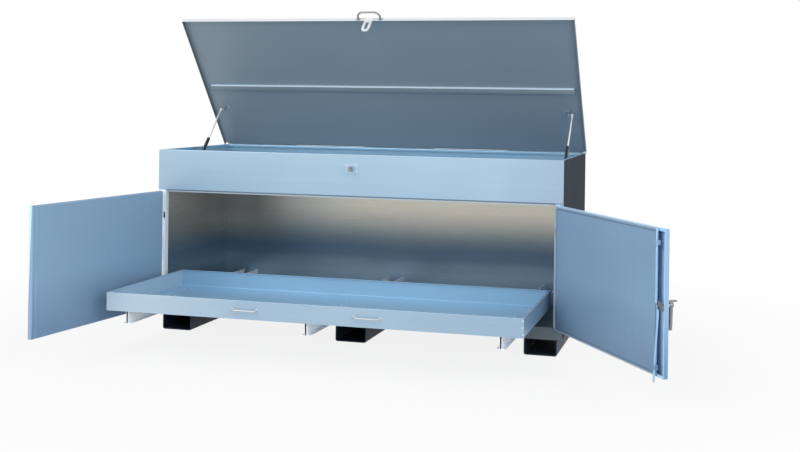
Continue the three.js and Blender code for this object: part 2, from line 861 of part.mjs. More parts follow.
function door(side) {
  const hand = side < 0 ? "left" : "right";
  const leaf = new THREE.Group();
  leaf.name = `${hand}_door`;
  leaf.position.copy(doorHinge(side));
  leaf.rotation.z = side * THREE.MathUtils.degToRad(side < 0 ? leftDoorOpen : rightDoorOpen);
  box.add(leaf);

  const slab = (a0, a1, y0, y1, z0, z1) => block(-side * a0, -side * a1, y0, y1, z0, z1);
  const lipFace = doorInner - doorSheet - clearance;
  const freeReturn = side < 0 ? leftDoorFreeReturn : rightDoorFreeReturn;
  let shell = cut(
    slab(doorHingeEdge, doorFreeEdge, doorOuter, lipFace, doorBottom, doorTop),
    slab(
      doorHingeEdge + doorSheet,
      doorFreeEdge - doorSheet,
      doorOuter + doorSheet,
      lipFace - doorSheet,
      doorBottom + doorSheet,
      doorTop - doorSheet,
    ),
    slab(
      doorHingeEdge + doorReturn,
      doorFreeEdge - freeReturn,
      doorInner - doorThickness / 2,
      lipFace + cutOverrun,
      doorBottom + doorReturn,
      doorTop - doorReturn,
    ),
  );
  const linerEnd = doorFreeEdge - (side < 0 ? leftLinerSetback : rightLinerSetback);
  let liner = slab(
    linerHingeEdge,
    linerEnd,
    doorInner - doorSheet,
    doorInner,
    doorBottom + doorSheet,
    doorTop - doorSheet,
  );

  if (side > 0) {
    const centre = -side * latchAlong;
    const plate = bar(
      [centre, doorOuter + doorSheet / 2, latchHeight],
      [centre, doorOuter - rosetteSheet, latchHeight],
      rosetteRadius,
      24,
    );
    const bore = bar(
      [centre, doorOuter - rosetteSheet - cutOverrun, latchHeight],
      [centre, doorInner + cutOverrun, latchHeight],
      boreRadius(spindleRadius + spindlePlay),
    );
    shell = cut(shell.add(plate), bore);

    const upperGuide = doorTop - upperGuideDrop;
    const lowerGuide = doorBottom + lowerGuideRise;
    const guides = [
      [upperRodAlong, upperRodAlong, upperGuide],
      [lowerRodAt(lowerGuide - guideLength), lowerRodAt(lowerGuide + guideLength), lowerGuide],
    ].map(([lowAlong, highAlong, height]) => {
      const middle = (lowAlong + highAlong) / 2;
      const wall = slab(
        linerEnd - guideFoot,
        middle + guideWidth / 2,
        doorInner - doorSheet / 2,
        rodLine + rodRadius + guideWall,
        height - guideLength / 2,
        height + guideLength / 2,
      );
      const hole = bar(
        [-side * lowAlong, rodLine, height - guideLength],
        [-side * highAlong, rodLine, height + guideLength],
        boreRadius(rodRadius + guidePlay),
      );
      return cut(wall, hole);
    });
    liner = joined(liner, ...guides);
  }
  leaf.add(sheetPiece(`${hand}_door_shell`, shell, doorBlue));
  leaf.add(sheetPiece(`${hand}_door_liner`, liner, doorBlue));

  const plateEdge = doorHingeEdge - clearance;
  const movingSpans = knuckleSpans(doorBottom, doorTop, knuckleCount, 1);
  const movingParts = movingSpans.flatMap(([z0, z1]) => [
    bar([0, 0, z0], [0, 0, z1], knuckleRadius),
    slab(0, plateEdge, -knuckleRadius, -knuckleRadius + hingeLeaf, z0, z1),
  ]);
  const movingPlate = slab(
    plateEdge - hingeLeaf,
    plateEdge,
    doorOuter,
    doorInner - doorSheet,
    doorBottom,
    doorTop,
  );
  const movingBores = movingSpans.map(([z0, z1]) =>
    bar([0, 0, z0 - clearance], [0, 0, z1 + clearance], boreRadius(hingePinRadius + hingePinPlay)),
  );
  const movingLeaf = cut(joined(movingPlate, ...movingParts), ...movingBores);
  leaf.add(zincPiece(`${hand}_door_hinge_moving_leaf`, movingLeaf));

  const line = doorHinge(side);
  const fixedSpans = knuckleSpans(doorBottom, doorTop, knuckleCount, 0);
  const outboard = knuckleRadius - hingeLeaf;
  const fixedParts = fixedSpans.flatMap(([z0, z1]) => [
    bar([line.x, line.y, z0], [line.x, line.y, z1], knuckleRadius),
    block(
      line.x + side * outboard,
      line.x + side * knuckleRadius,
      line.y,
      frontFace - clearance,
      z0,
      z1,
    ),
  ]);
  const foot = block(
    line.x + side * outboard,
    line.x + side * hingeFoot,
    frontFace - clearance - hingeLeaf,
    frontFace - clearance,
    doorBottom,
    doorTop,
  );
  const pin = bar([line.x, line.y, doorBottom], [line.x, line.y, doorTop - clearance], hingePinRadius);
  box.add(zincPiece(`${hand}_door_hinge_fixed_leaf`, joined(foot, pin, ...fixedParts)));
  return leaf;
}

// Place along the door of the leaning lower latch rod at a height
function lowerRodAt(height) {
  const lean = (lowerRodAlong - lowerRodTipAlong) / (latchHeight - lowerRodTip);
  return lowerRodAlong - lean * (latchHeight - height);
}

door(-1);
const rightDoor = door(1);

// Latch: lever and spindle outside, cam and rods inside

const leverBack = doorOuter - rosetteSheet - leverStandoff;
const bossStart = doorOuter - rosetteSheet - clearance;
const spindle = bar([0, leverBack, 0], [0, doorInner + camLift - clearance, 0], spindleRadius);
const boss = bar([0, doorOuter - rosetteSheet - bossReach, 0], [0, bossStart, 0], bossRadius);
const leverHead = block(
  -leverWidth / 2,
  leverWidth / 2,
  doorOuter - rosetteSheet - leverHeadReach,
  bossStart,
  leverTop - leverHeadSheet,
  leverTop,
);
const lever = swept(
  [
    [-leverWidth / 2, leverTop],
    [leverWidth / 2, leverTop],
    [leverWidth / 2, -leverLength * leverPinchShare],
    [(leverWidth / 2) * leverPinchShare, leverTop - leverLength],
    [(-leverWidth / 2) * leverPinchShare, leverTop - leverLength],
    [-leverWidth / 2, -leverLength * leverPinchShare],
  ],
  "y",
  leverBack - leverSheet,
  leverBack,
);
const latch = new THREE.Group();
latch.name = "latch";
latch.position.set(-latchAlong, 0, latchHeight);
rightDoor.add(latch);
latch.add(zincPiece("latch_handle", joined(spindle, boss, lever, leverHead)));

const camTip = camWidth * camTipShare;
const camWaist = camLength * camWaistShare;
const camTurn = THREE.MathUtils.degToRad(camTilt);
const cam = swept(
  [
    [-camLength / 2, -camTip],
    [-camWaist, -camWidth / 2],
    [camWaist, -camWidth / 2],
    [camLength / 2, -camTip],
    [camLength / 2, camTip],
    [camWaist, camWidth / 2],
    [-camWaist, camWidth / 2],
    [-camLength / 2, camTip],
  ].map(([x, z]) => [
    x * Math.cos(camTurn) - z * Math.sin(camTurn),
    x * Math.sin(camTurn) + z * Math.cos(camTurn),
  ]),
  "y",
  doorInner + camLift,
  doorInner + camLift + camSheet,
);
latch.add(zincPiece("latch_cam", cam));

const upperRod = bar(
  [-upperRodAlong, rodLine, latchHeight + upperRodLift],
  [-upperRodAlong, rodLine, doorTop - upperRodTopGap],
  rodRadius,
);
rightDoor.add(zincPiece("upper_latch_rod", upperRod));
const lowerRod = bar(
  [-lowerRodAt(latchHeight - lowerRodDrop), rodLine, latchHeight - lowerRodDrop],
  [-lowerRodTipAlong, rodLine, lowerRodTip],
  rodRadius,
);
rightDoor.add(zincPiece("lower_latch_rod", lowerRod));

// Lid, drawn closed about its hinge line and then raised

const lid = new THREE.Group();
lid.name = "lid";
lid.position.set(0, backFace, rimHeight + lidHingeRise);
lid.rotation.x = -THREE.MathUtils.degToRad(lidOpen);
box.add(lid);

const lidReach = halfWidth + lidSideOverhang;
const lidFlangeEnd = -lidUnder - lidFlange;
const lidFold = swept(
  bentSheet(
    [
      [-lidReach, lidFlangeEnd],
      [-lidReach, -lidTopDrop],
      [lidReach, -lidTopDrop],
      [lidReach, lidFlangeEnd],
    ].reverse(),
    lidSheet,
  ),
  "y",
  -lidLength + lidSheet / 2,
  -lidRearGap,
);
const lidFront = block(
  -lidReach,
  lidReach,
  -lidLength,
  -lidLength + lidSheet,
  lidFlangeEnd,
  -lidTopDrop,
);
lid.add(sheetPiece("lid_pan", joined(lidFold, lidFront), lidBlue));

const stiffenerTop = -lidUnder - clearance;
const stiffener = swept(
  bentSheet(
    [
      [-stiffenerFront, stiffenerTop],
      [-stiffenerFront, stiffenerTop - stiffenerDepth],
      [-stiffenerBack, stiffenerTop - stiffenerDepth],
      [-stiffenerBack, stiffenerTop],
    ],
    stiffenerSheet,
  ),
  "x",
  -halfWidth + stiffenerEnd,
  halfWidth - stiffenerEnd,
);
lid.add(sheetPiece("lid_stiffener", stiffener, brightZinc));

const lidHandle = zincPiece(
  "lid_handle",
  bowHandle(lidHandleWidth, lidHandleRise, lidHandleBar, lidHandleFoot, lidHandleFootSheet),
);
lidHandle.position.set(0, -lidLength - clearance, -lidTopDrop - lidHandleDrop);
lid.add(lidHandle);

const lidHingeReach = halfWidth - lidHingeEnd;
const lidPlateTop = -lidTopDrop + clearance + hingeLeaf;
const lidMovingSpans = knuckleSpans(-lidHingeReach, lidHingeReach, knuckleCount, 1);
const lidMovingLeaf = cut(
  joined(
    block(
      -lidHingeReach,
      lidHingeReach,
      -lidHingeLeafWidth,
      -knuckleRadius - clearance,
      -lidTopDrop + clearance,
      lidPlateTop,
    ),
    ...lidMovingSpans.flatMap(([x0, x1]) => [
      bar([x0, 0, 0], [x1, 0, 0], knuckleRadius),
      block(x0, x1, -knuckleRadius * 2, 0, -lidTopDrop + clearance, lidPlateTop),
    ]),
  ),
  ...lidMovingSpans.map(([x0, x1]) =>
    bar([x0 - clearance, 0, 0], [x1 + clearance, 0, 0], boreRadius(hingePinRadius + hingePinPlay)),
  ),
);
lid.add(zincPiece("lid_hinge_moving_leaf", lidMovingLeaf));

const lidLine = [backFace, rimHeight + lidHingeRise];
const lidFixedLeaf = joined(
  block(
    -lidHingeReach,
    lidHingeReach,
    backFace + clearance,
    backFace + clearance + hingeLeaf,
    lidLine[1] - lidHingeFixedDrop,
    lidLine[1] - knuckleRadius - lidLeafGap,
  ),
  bar([-lidHingeReach, ...lidLine], [lidHingeReach - clearance, ...lidLine], hingePinRadius),
  ...knuckleSpans(-lidHingeReach, lidHingeReach, knuckleCount, 0).flatMap(([x0, x1]) => [
    bar([x0, ...lidLine], [x1, ...lidLine], knuckleRadius),
    block(
      x0,
      x1,
      backFace + clearance,
      backFace + clearance + hingeLeaf,
      lidLine[1] - lidHingeFixedDrop,
      lidLine[1],
    ),
  ]),
);
box.add(zincPiece("lid_hinge_fixed_leaf", lidFixedLeaf));

// Hasp

const haspLine = [-lidLength - haspAxisForward, lidFlangeEnd - haspAxisDrop];
const haspSpans = (owner) => knuckleSpans(-haspWidth / 2, haspWidth / 2, haspKnuckleCount, owner);
const haspPlateBack = -lidLength - clearance;
const haspPlateFront = haspPlateBack - hingeLeaf;
const haspPlateLow = haspLine[1] + haspKnuckleRadius + clearance;
const haspPlateTop = haspPlateLow + haspLeafHeight;
const haspLeaf = joined(
  block(-haspWidth / 2, haspWidth / 2, haspPlateFront, haspPlateBack, haspPlateLow, haspPlateTop),
  bar([-haspWidth / 2, ...haspLine], [haspWidth / 2 - clearance, ...haspLine], haspPinRadius),
  ...haspSpans(0).flatMap(([x0, x1]) => [
    bar([x0, ...haspLine], [x1, ...haspLine], haspKnuckleRadius),
    block(x0, x1, haspPlateFront, haspPlateBack, haspLine[1], haspPlateTop),
  ]),
);
lid.add(zincPiece("hasp_hinge_leaf", haspLeaf));

const hasp = new THREE.Group();
hasp.name = "hasp";
hasp.position.set(0, ...haspLine);
lid.add(hasp);
const strapRound = Array.from({ length: haspEndSides + 1 }, (unused, index) => {
  const turn = (index / haspEndSides) * Math.PI;
  return [(-haspWidth / 2) * Math.cos(turn), -haspLength + (haspWidth / 2) * (1 - Math.sin(turn))];
});
const strapTop = -haspKnuckleRadius - clearance;
const strapOutline = [[haspWidth / 2, strapTop], [-haspWidth / 2, strapTop], ...strapRound];
const slotOutline = rounded(
  -haspSlotWidth / 2,
  haspSlotWidth / 2,
  -haspSlotLow,
  -haspSlotHigh,
  haspSlotCorner,
);
const strap = cut(
  joined(
    swept(strapOutline, "y", -haspSheet, 0),
    ...haspSpans(1).flatMap(([x0, x1]) => [
      bar([x0, 0, 0], [x1, 0, 0], haspKnuckleRadius),
      block(x0, x1, -haspSheet, 0, -haspKnuckleRadius * 2, 0),
    ]),
  ),
  ...haspSpans(1).map(([x0, x1]) =>
    bar([x0 - clearance, 0, 0], [x1 + clearance, 0, 0], boreRadius(haspPinRadius + hingePinPlay)),
  ),
  swept(slotOutline, "y", -haspSheet - cutOverrun, cutOverrun),
);
hasp.add(zincPiece("hasp_strap", strap));

// Gas struts: a tube that swings on the body and a rod that slides in it towards the lid

const lidAngle = THREE.MathUtils.degToRad(lidOpen);
const headLocal = [-strutHeadAlong, -lidUnder - strutHeadDrop];
const headY = headLocal[0] * Math.cos(lidAngle) + headLocal[1] * Math.sin(lidAngle) + backFace;
const headZ = -headLocal[0] * Math.sin(lidAngle) + headLocal[1] * Math.cos(lidAngle) + lidLine[1];
const footY = frontFace + strutFootDepth;
const strutFootHeight = wellTop + strutFootRise;
const strutRun = headY - footY;
const strutRise = headZ - strutFootHeight;
const strutLength = Math.hypot(strutRun, strutRise);

function strut(side) {
  const hand = side < 0 ? "left" : "right";
  const across = (inset) => side * (halfWidth - inset);
  const plateFar = bracketPlateInset + bracketSheet;
  const eyeSide = strutInset - strutEyeWidth / 2;

  const foot = joined(
    block(
      across(bracketPlateInset),
      across(plateFar),
      footY - bracketWidth / 2,
      footY + bracketWidth / 2,
      wellTop + clearance,
      strutFootHeight + bracketCrown,
    ),
    block(
      across(bracketPlateInset),
      across(bracketPlateInset + bracketFoot),
      footY - bracketWidth / 2,
      footY + bracketWidth / 2,
      wellTop + clearance,
      wellTop + clearance + bracketSheet,
    ),
    bar(
      [across(plateFar - bracketSheet / 2), footY, strutFootHeight],
      [across(eyeSide - clearance), footY, strutFootHeight],
      studRadius,
    ),
  );
  box.add(zincPiece(`${hand}_strut_base_bracket`, foot));

  const headPlate = strutInset + strutInset - bracketPlateInset;
  const headBracket = joined(
    block(
      across(headPlate),
      across(headPlate - bracketSheet),
      headLocal[0] - bracketWidth / 2,
      headLocal[0] + bracketWidth / 2,
      headLocal[1] - bracketCrown,
      stiffenerTop,
    ),
    block(
      across(headPlate),
      across(headPlate + bracketFoot),
      headLocal[0] - bracketWidth / 2,
      headLocal[0] + bracketWidth / 2,
      stiffenerTop - bracketSheet,
      stiffenerTop,
    ),
    bar(
      [across(headPlate - bracketSheet / 2), ...headLocal],
      [across(strutInset + strutEyeWidth / 2 + clearance), ...headLocal],
      studRadius,
    ),
  );
  lid.add(zincPiece(`${hand}_strut_lid_bracket`, headBracket));

  const swing = new THREE.Group();
  swing.name = `${hand}_strut`;
  swing.position.set(across(strutInset), footY, strutFootHeight);
  swing.rotation.x = -Math.atan2(strutRun, strutRise);
  box.add(swing);
  const eyeHalf = strutEyeWidth / 2;
  const tubeEnd = strutTubeStart + strutTubeLength;
  const tube = cut(
    joined(
      bar([-eyeHalf, 0, 0], [eyeHalf, 0, 0], strutEye),
      bar([0, 0, 0], [0, 0, strutTubeStart + studRadius], studRadius),
      bar([0, 0, strutTubeStart], [0, 0, tubeEnd], strutTubeRadius),
    ),
    bar([0, 0, strutTubeStart + strutBoreFloor], [0, 0, tubeEnd + clearance], strutBoreRadius),
  );
  swing.add(named(`${hand}_strut_tube`, tube, strutBlack, 0.4, 0.2));
  const rod = joined(
    bar([0, 0, tubeEnd - strutRodHold], [0, 0, strutLength - studRadius], strutRodRadius),
    bar([-eyeHalf, 0, strutLength], [eyeHalf, 0, strutLength], strutRodEye),
  );
  swing.add(zincPiece(`${hand}_strut_rod`, rod));
}

strut(-1);
strut(1);

export default box;
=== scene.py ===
import json
import math

import bmesh
import bpy
import numpy as np
from bpy.props import FloatProperty, FloatVectorProperty, PointerProperty
from bpy.types import Operator, Panel, PropertyGroup
from mathutils import Matrix, Vector

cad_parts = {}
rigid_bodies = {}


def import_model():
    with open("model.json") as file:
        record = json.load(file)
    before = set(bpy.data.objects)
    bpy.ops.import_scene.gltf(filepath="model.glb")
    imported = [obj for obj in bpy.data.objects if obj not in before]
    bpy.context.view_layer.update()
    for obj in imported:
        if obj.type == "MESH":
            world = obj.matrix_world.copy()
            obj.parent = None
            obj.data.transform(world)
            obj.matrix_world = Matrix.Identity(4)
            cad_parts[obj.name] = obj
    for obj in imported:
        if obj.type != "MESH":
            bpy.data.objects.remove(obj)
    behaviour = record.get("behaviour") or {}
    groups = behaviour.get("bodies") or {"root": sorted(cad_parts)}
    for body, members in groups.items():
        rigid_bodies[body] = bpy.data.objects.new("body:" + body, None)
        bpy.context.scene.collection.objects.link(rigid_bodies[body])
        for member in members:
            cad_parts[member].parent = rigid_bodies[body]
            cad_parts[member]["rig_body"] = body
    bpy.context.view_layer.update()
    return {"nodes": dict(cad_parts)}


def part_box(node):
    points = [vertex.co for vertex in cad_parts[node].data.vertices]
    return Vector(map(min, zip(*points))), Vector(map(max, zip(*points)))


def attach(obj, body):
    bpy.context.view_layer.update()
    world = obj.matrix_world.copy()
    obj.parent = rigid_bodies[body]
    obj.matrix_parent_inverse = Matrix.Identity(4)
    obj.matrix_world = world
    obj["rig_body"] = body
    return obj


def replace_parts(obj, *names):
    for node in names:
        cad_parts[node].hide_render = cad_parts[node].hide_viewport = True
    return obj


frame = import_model()

bl_info = {
    "name": "Jobsite Storage Box",
    "version": (1, 0, 0),
    "blender": (4, 5, 0),
    "location": "View3D > Sidebar > Storage Box",
    "description": "Finishes a sheet-steel jobsite storage box with its fittings, rollers and struts",
    "category": "Object",
}


def linear(red, green, blue):
    """Scene-linear colour of a screen colour given from 0 to 255."""
    shares = (red / 255.0, green / 255.0, blue / 255.0)
    return tuple(s / 12.92 if s <= 0.04045 else ((s + 0.055) / 1.055) ** 2.4 for s in shares)


def number(name, description, default, unit="NONE"):
    """A number property."""
    return FloatProperty(name=name, description=description, default=default, unit=unit)


def length(name, description, metres):
    """A length property."""
    return number(name, description, metres, "LENGTH")


def tint(name, description, *screen):
    """A colour property whose default is given as a screen colour."""
    colour = linear(*screen)
    return FloatVectorProperty(name=name, description=description, subtype="COLOR", default=colour)


class BoxSizes(PropertyGroup):
    """Sizes of the fine pieces, in metres."""

    sheet_edge: length("Sheet Edge", "Rounding of cut sheet edges", 0.0009)
    fitting_edge: length("Fitting Edge", "Rounding of plated fittings", 0.0006)
    skid_edge: length("Skid Edge", "Rounding of the skids' cut ends", 0.0012)
    screw_head: length("Screw Head", "Radius of a pan screw head", 0.0045)
    spot_weld: length("Spot Weld", "Radius of a spot weld's dimple", 0.004)
    weld_bead: length("Weld Bead", "Radius of the weld beads on the skids", 0.0035)


class BoxFinish(PropertyGroup):
    """Colours of the finishes, scene linear."""

    body: tint("Body", "Outside of the body sheet", 161, 187, 206)
    # Painted shade: the end panels' outside is near black for the shade they stand in.
    side: tint("Side", "Outside of the end panels", 23, 35, 47)
    inside: tint("Inside", "Bare sheet inside the compartment", 150, 154, 152)
    well: tint("Well", "Inside of the top well", 161, 203, 232)
    lid: tint("Lid", "Sheet of the lid", 142, 159, 170)
    door: tint("Door", "Sheet of the doors", 136, 168, 196)
    drawer: tint("Drawer", "Sheet of the drawer", 158, 183, 204)
    drawer_inside: tint("Drawer Inside", "Inside of the drawer", 162, 203, 231)
    zinc: tint("Zinc", "Bright zinc plating", 218, 223, 227)
    skid: tint("Skid", "Black paint of the skids", 34, 46, 62)
    steel: tint("Steel", "Turned steel of the rollers", 196, 199, 202)
    tube: tint("Strut Tube", "Black paint of the strut tubes", 26, 28, 31)


class BoxStage(PropertyGroup):
    """The studio round the box."""

    lens: number("Lens", "Focal length in millimetres", 53.18)
    key: number("Key Light", "Strength of the key light", 220.0)
    fill: number("Fill Light", "Strength of the fill light", 215.0)
    sky: number("Sky", "Strength of the studio's soft surround", 0.9)


# Lines and levels of the box in its rest pose, in metres, all in the row frame

SIDES = {"left": -1, "right": 1}
SIDEWAYS = (1.0, 0.0, 0.0)
FORWARD = (0.0, -1.0, 0.0)
BACKWARD = (0.0, 1.0, 0.0)
UP = (0.0, 0.0, 1.0)
HALF_WIDTH = 1.219
FRONT = -0.5065
BACK = 0.5065
SEAM = 0.012  # from a sheet's edge to its row of spot welds
RIM = 1.0831
LIP_TOP = 0.845  # the well floor's front faces below it belong to its header lip
WELL_LEVEL = 0.847  # the compartment ends and the top well begins
SKID_MIDDLES = {"left": -1.0988, "centre": 0.0, "right": 1.0988}
BEAD_OFFSET = 0.0975 * 0.885
BEAD_HEIGHT = 0.0935
BEAD_LENGTH = 0.12
HINGE_RIVET = (0.005, 0.0022)  # radius and height
LID_LINE = np.array((0.0, 0.5065, 1.094))
LID_RAISED = math.radians(49.2)
LID_BEND = (0.0, -1.0605, -0.012)  # the lid's front flange bends here, on the closed lid
LID_BOW_FOOT = (-1.0583, -0.020)  # back from the hinge line and above it, on the closed lid
STIFFENER_CREST = (-0.5269, -0.0165)  # the same, for the stiffener's spot welds
DOOR_LINES = {"left": np.array((-1.190, -0.5225, 0.0)), "right": np.array((1.190, -0.5225, 0.0))}
DOOR_TURNS = {"left": math.radians(-96.5), "right": math.radians(122.6)}
DOOR_WIDTHS = {"left": 1.158, "right": 1.123}
LINER_FACE = 0.0151
LATCH_ALONG = 1.155
LATCH_HEIGHT = 0.487
HASP_LINE = np.array((0.0, -1.064, -0.0375))
STRAP_THICKNESS = 0.003
STAPLE_HEIGHT = 1.001
DRAWER_FRONT = -1.2595
DRAWER_HALF_WIDTH = 1.1354
DRAWER_FLOOR = 0.2493
PULL_APART = 0.335
PULL_HEIGHT = (0.2444 + 0.3423) / 2
RAIL_LINES = {"left": -1.019, "centre": 0.0, "right": 1.019}
ROLLER_BORE = 0.0066
REAR_ROLLER_WIDTH = 0.010
STRUT_FOOT = np.array((0.0, -0.1865, 0.880))
STRUT_ANGLE = math.radians(44.649)
STRUT_WAY = np.array((0.0, math.cos(STRUT_ANGLE), math.sin(STRUT_ANGLE)))
STRUT_LENGTH = 0.62835
STRUT_SIDES = {"left": -1.163, "right": 1.163}
STRUT_EYE_SIDE = -0.0057
STRUT_EYE_WIDTH = 0.0114
CAMERA_PLACE = (2.084, -6.981, 1.401)
CAMERA_YAW = math.radians(-15.55)
CAMERA_ROLL = math.radians(0.8)
CAMERA_SHIFT = -0.1576
LAMP_SIZE = 5.0
WHITE = (1.0, 1.0, 1.0)


def on_lid(points):
    """A place given along, back and above the closed lid's hinge line, turned up with the lid."""
    turn = np.array(Matrix.Rotation(-LID_RAISED, 3, "X"))
    return np.asarray(points, float) @ turn.T + LID_LINE


def lid_way(direction):
    return on_lid(direction) - LID_LINE


def on_door(hand, points):
    """A place given from the closed door's hinge line, turned open with the door.

    The first coordinate is the distance from the hinge line along the door.
    """
    points = np.asarray(points, float) * np.array((1.0 if hand == "left" else -1.0, 1.0, 1.0))
    turn = np.array(Matrix.Rotation(DOOR_TURNS[hand], 3, "Z"))
    return points @ turn.T + DOOR_LINES[hand]


def door_way(hand, direction):
    return on_door(hand, direction) - DOOR_LINES[hand]


def along_strut(hand, distance, aside=0.0):
    """A place on a strut's centre line, at a distance from its lower eye."""
    return STRUT_FOOT + STRUT_WAY * distance + np.array((STRUT_SIDES[hand] + aside, 0.0, 0.0))


# Shader maths


class Value:
    """A number socket whose operators add Math nodes."""

    def __init__(self, finish, socket):
        self.finish = finish
        self.socket = socket

    def __add__(self, other):
        return self.finish.math("ADD", self, other)

    __radd__ = __add__

    def __sub__(self, other):
        return self.finish.math("SUBTRACT", self, other)

    def __rsub__(self, other):
        return self.finish.math("SUBTRACT", other, self)

    def __mul__(self, other):
        return self.finish.math("MULTIPLY", self, other)

    __rmul__ = __mul__

    def __pow__(self, other):
        return self.finish.math("POWER", self, other)


class Finish:
    """A node material, or the node tree given, being built."""

    def __init__(self, name, tree=None):
        if tree is None:
            self.material = bpy.data.materials.new(name)
            self.material.use_nodes = True
            tree = self.material.node_tree
        self.tree = tree
        self.tree.nodes.clear()

    def node(self, kind, inputs=(), **settings):
        """Adds a node; inputs are socket values or links, where not None, and settings its properties."""
        made = self.tree.nodes.new(kind)
        for key, value in settings.items():
            setattr(made, key, value)
        for key, value in dict(inputs).items():
            socket = made.inputs[key]
            if value is None:
                continue
            if isinstance(value, Value):
                self.tree.links.new(value.socket, socket)
            elif isinstance(value, bpy.types.NodeSocket):
                self.tree.links.new(value, socket)
            elif socket.type == "RGBA" and len(value) == 3:
                socket.default_value = (*value, 1.0)
            else:
                socket.default_value = value
        return made

    def math(self, operation, a, b, clamp=False):
        made = self.node("ShaderNodeMath", {0: a, 1: b}, operation=operation, use_clamp=clamp)
        return Value(self, made.outputs[0])

    def clamped(self, value):
        return self.math("ADD", value, 0.0, clamp=True)

    def blend(self, factor, a, b, kind="MIX"):
        inputs = {0: factor, 6: a, 7: b}
        return self.node("ShaderNodeMix", inputs, data_type="RGBA", blend_type=kind).outputs[2]

    def ramp(self, factor, stops):
        """A colour ramp through the stops, each a place and its colour."""
        made = self.node("ShaderNodeValToRGB", {0: factor})
        elements = made.color_ramp.elements
        elements.remove(elements[-1])
        for number, (place, colour) in enumerate(stops):
            element = elements[0] if number == 0 else elements.new(place)
            element.position = place
            element.color = (*colour, 1.0)
        return made.outputs[0]

    def place(self, scale=(1.0, 1.0, 1.0)):
        """Object coordinates, stretched."""
        here = self.node("ShaderNodeTexCoord").outputs["Object"]
        return self.node("ShaderNodeMapping", {"Vector": here, "Scale": scale}).outputs[0]

    def axis(self, letter):
        """One of the object's own coordinates, in metres."""
        parts = self.node("ShaderNodeSeparateXYZ", {0: self.place()})
        return Value(self, parts.outputs["XYZ".index(letter)])

    def noise(self, scale, stretch=(1.0, 1.0, 1.0), detail=4.0, rough=0.55):
        inputs = {"Vector": self.place(stretch), "Scale": scale, "Detail": detail, "Roughness": rough}
        return Value(self, self.node("ShaderNodeTexNoise", inputs).outputs[0])

    def bump(self, height, strength, distance, normal=None):
        inputs = {"Height": height, "Strength": strength, "Distance": distance, "Normal": normal}
        return self.node("ShaderNodeBump", inputs).outputs[0]

    def shade(self, colour, metallic, roughness, normal=None, more=None):
        """Ends the material with its Principled shader; more holds the sockets that few finishes set."""
        inputs = {"Base Color": colour, "Metallic": metallic, "Roughness": roughness, "Normal": normal}
        shader = self.node("ShaderNodeBsdfPrincipled", {**inputs, **(more or {})})
        self.node("ShaderNodeOutputMaterial", {"Surface": shader.outputs[0]})
        return self.material

    def mixed(self, share, first, second, output):
        """Ends the tree with two shaders mixed by a share."""
        made = self.node("ShaderNodeMixShader", {0: share, 1: first.outputs[0], 2: second.outputs[0]})
        self.node(output, {"Surface": made.outputs[0]})

    def seen(self):
        """One where the camera sees the surface, itself or in a mirror or through glass."""
        path = self.node("ShaderNodeLightPath").outputs
        rays = ("Is Camera Ray", "Is Glossy Ray", "Is Transmission Ray")
        camera, mirror, glass = (Value(self, path[ray]) for ray in rays)
        return self.clamped(camera + mirror + glass)


def toned(colour, share):
    """The colour, or any numbers, times a share."""
    return tuple(channel * share for channel in colour)


LEVEL_GRAIN = (3.0, 260.0, 260.0)
FINE_LEVEL_GRAIN = (3.0, 420.0, 420.0)
UPRIGHT_GRAIN = (260.0, 260.0, 3.0)


def sheet_finish(
    name, colour, metallic=0.35, roughness=0.36, painted_light_fades=(), grain=LEVEL_GRAIN, spread=0.10, gloss=0.5
):
    """Rolled, thinly coated sheet: cloudy colour, fine rolling grain, small scuffs and a slight ripple.

    Each fade paints light or shade: an axis, where it starts, where it is full, and the tint it brings the
    sheet to.
    """
    finish = Finish(name)
    cloud = finish.noise(2.2, detail=3.0)
    fine = finish.noise(1.0, stretch=grain, detail=3.0, rough=0.6)
    scuff = finish.noise(14.0, stretch=(1.0, 1.0, 7.0), detail=6.0, rough=0.7)
    scuffs = finish.clamped((scuff - 0.60) * 9.0)
    streak = finish.noise(1.0, stretch=toned(grain, 0.3), detail=2.0, rough=0.5)
    tone = finish.clamped(cloud * 0.5 + fine * 0.35 + streak * 0.5 - 0.17)
    base = finish.blend(tone, toned(colour, 1.0 - spread), toned(colour, 1.0 + spread))
    base = finish.blend(scuffs * 0.18, base, toned(colour, 1.3))
    # Painted light and shade: each fade tints the sheet along one axis.
    for letter, start, full, tinted in painted_light_fades:
        amount = finish.clamped((finish.axis(letter) - start) * (1.0 / (full - start)))
        base = finish.blend(amount, base, tinted, "MULTIPLY")
    ripple = finish.noise(1.6, detail=1.0)
    normal = finish.bump(ripple, 0.35, 0.004, finish.bump(fine, 0.25, 0.0002))
    rough = finish.clamped(roughness + (fine - 0.5) * 0.16 + (cloud - 0.5) * 0.12)
    return finish.shade(base, metallic, rough, normal, {"Specular IOR Level": gloss})


def worn_specks(finish):
    """Fine specks of coat left on a rubbed edge."""
    return finish.clamped((finish.noise(420.0, detail=4.0) - 0.5) * 5.0)


def worn_edge_and_highlight_finish(name, colour, metallic=0.7):
    """Rounded edge of a coated sheet, partly rubbed wear and partly painted highlight: lighter, smoother
    metal broken by fine specks of the coat.
    """
    finish = Finish(name)
    specks = worn_specks(finish)
    base = finish.blend(specks, toned(colour, 1.4), toned(colour, 1.75))
    return finish.shade(base, metallic, 0.26 + specks * 0.14)


def hem_highlight_finish(name, colour):
    """Free edge of the left door: a painted highlight along its outer bend, widest at the top, flecked with
    specks of wear.
    """
    finish = Finish(name)
    inward = door_way("left", BACKWARD).tolist()
    line = DOOR_LINES["left"].tolist()
    depth = (finish.axis("X") - line[0]) * inward[0] + (finish.axis("Y") - line[1]) * inward[1]
    limit = (finish.axis("Z") - 0.28) * 0.028 - 0.011
    # Painted highlight: lighter in a strip along the free edge, widening upwards.
    rubbed = finish.clamped((limit - depth) * 600.0)
    specks = worn_specks(finish)
    base = finish.blend(rubbed, colour, toned(colour, 2.2))
    base = finish.blend(specks * 0.15, base, toned(colour, 1.3))
    return finish.shade(base, 0.1, 0.4 + specks * 0.1)


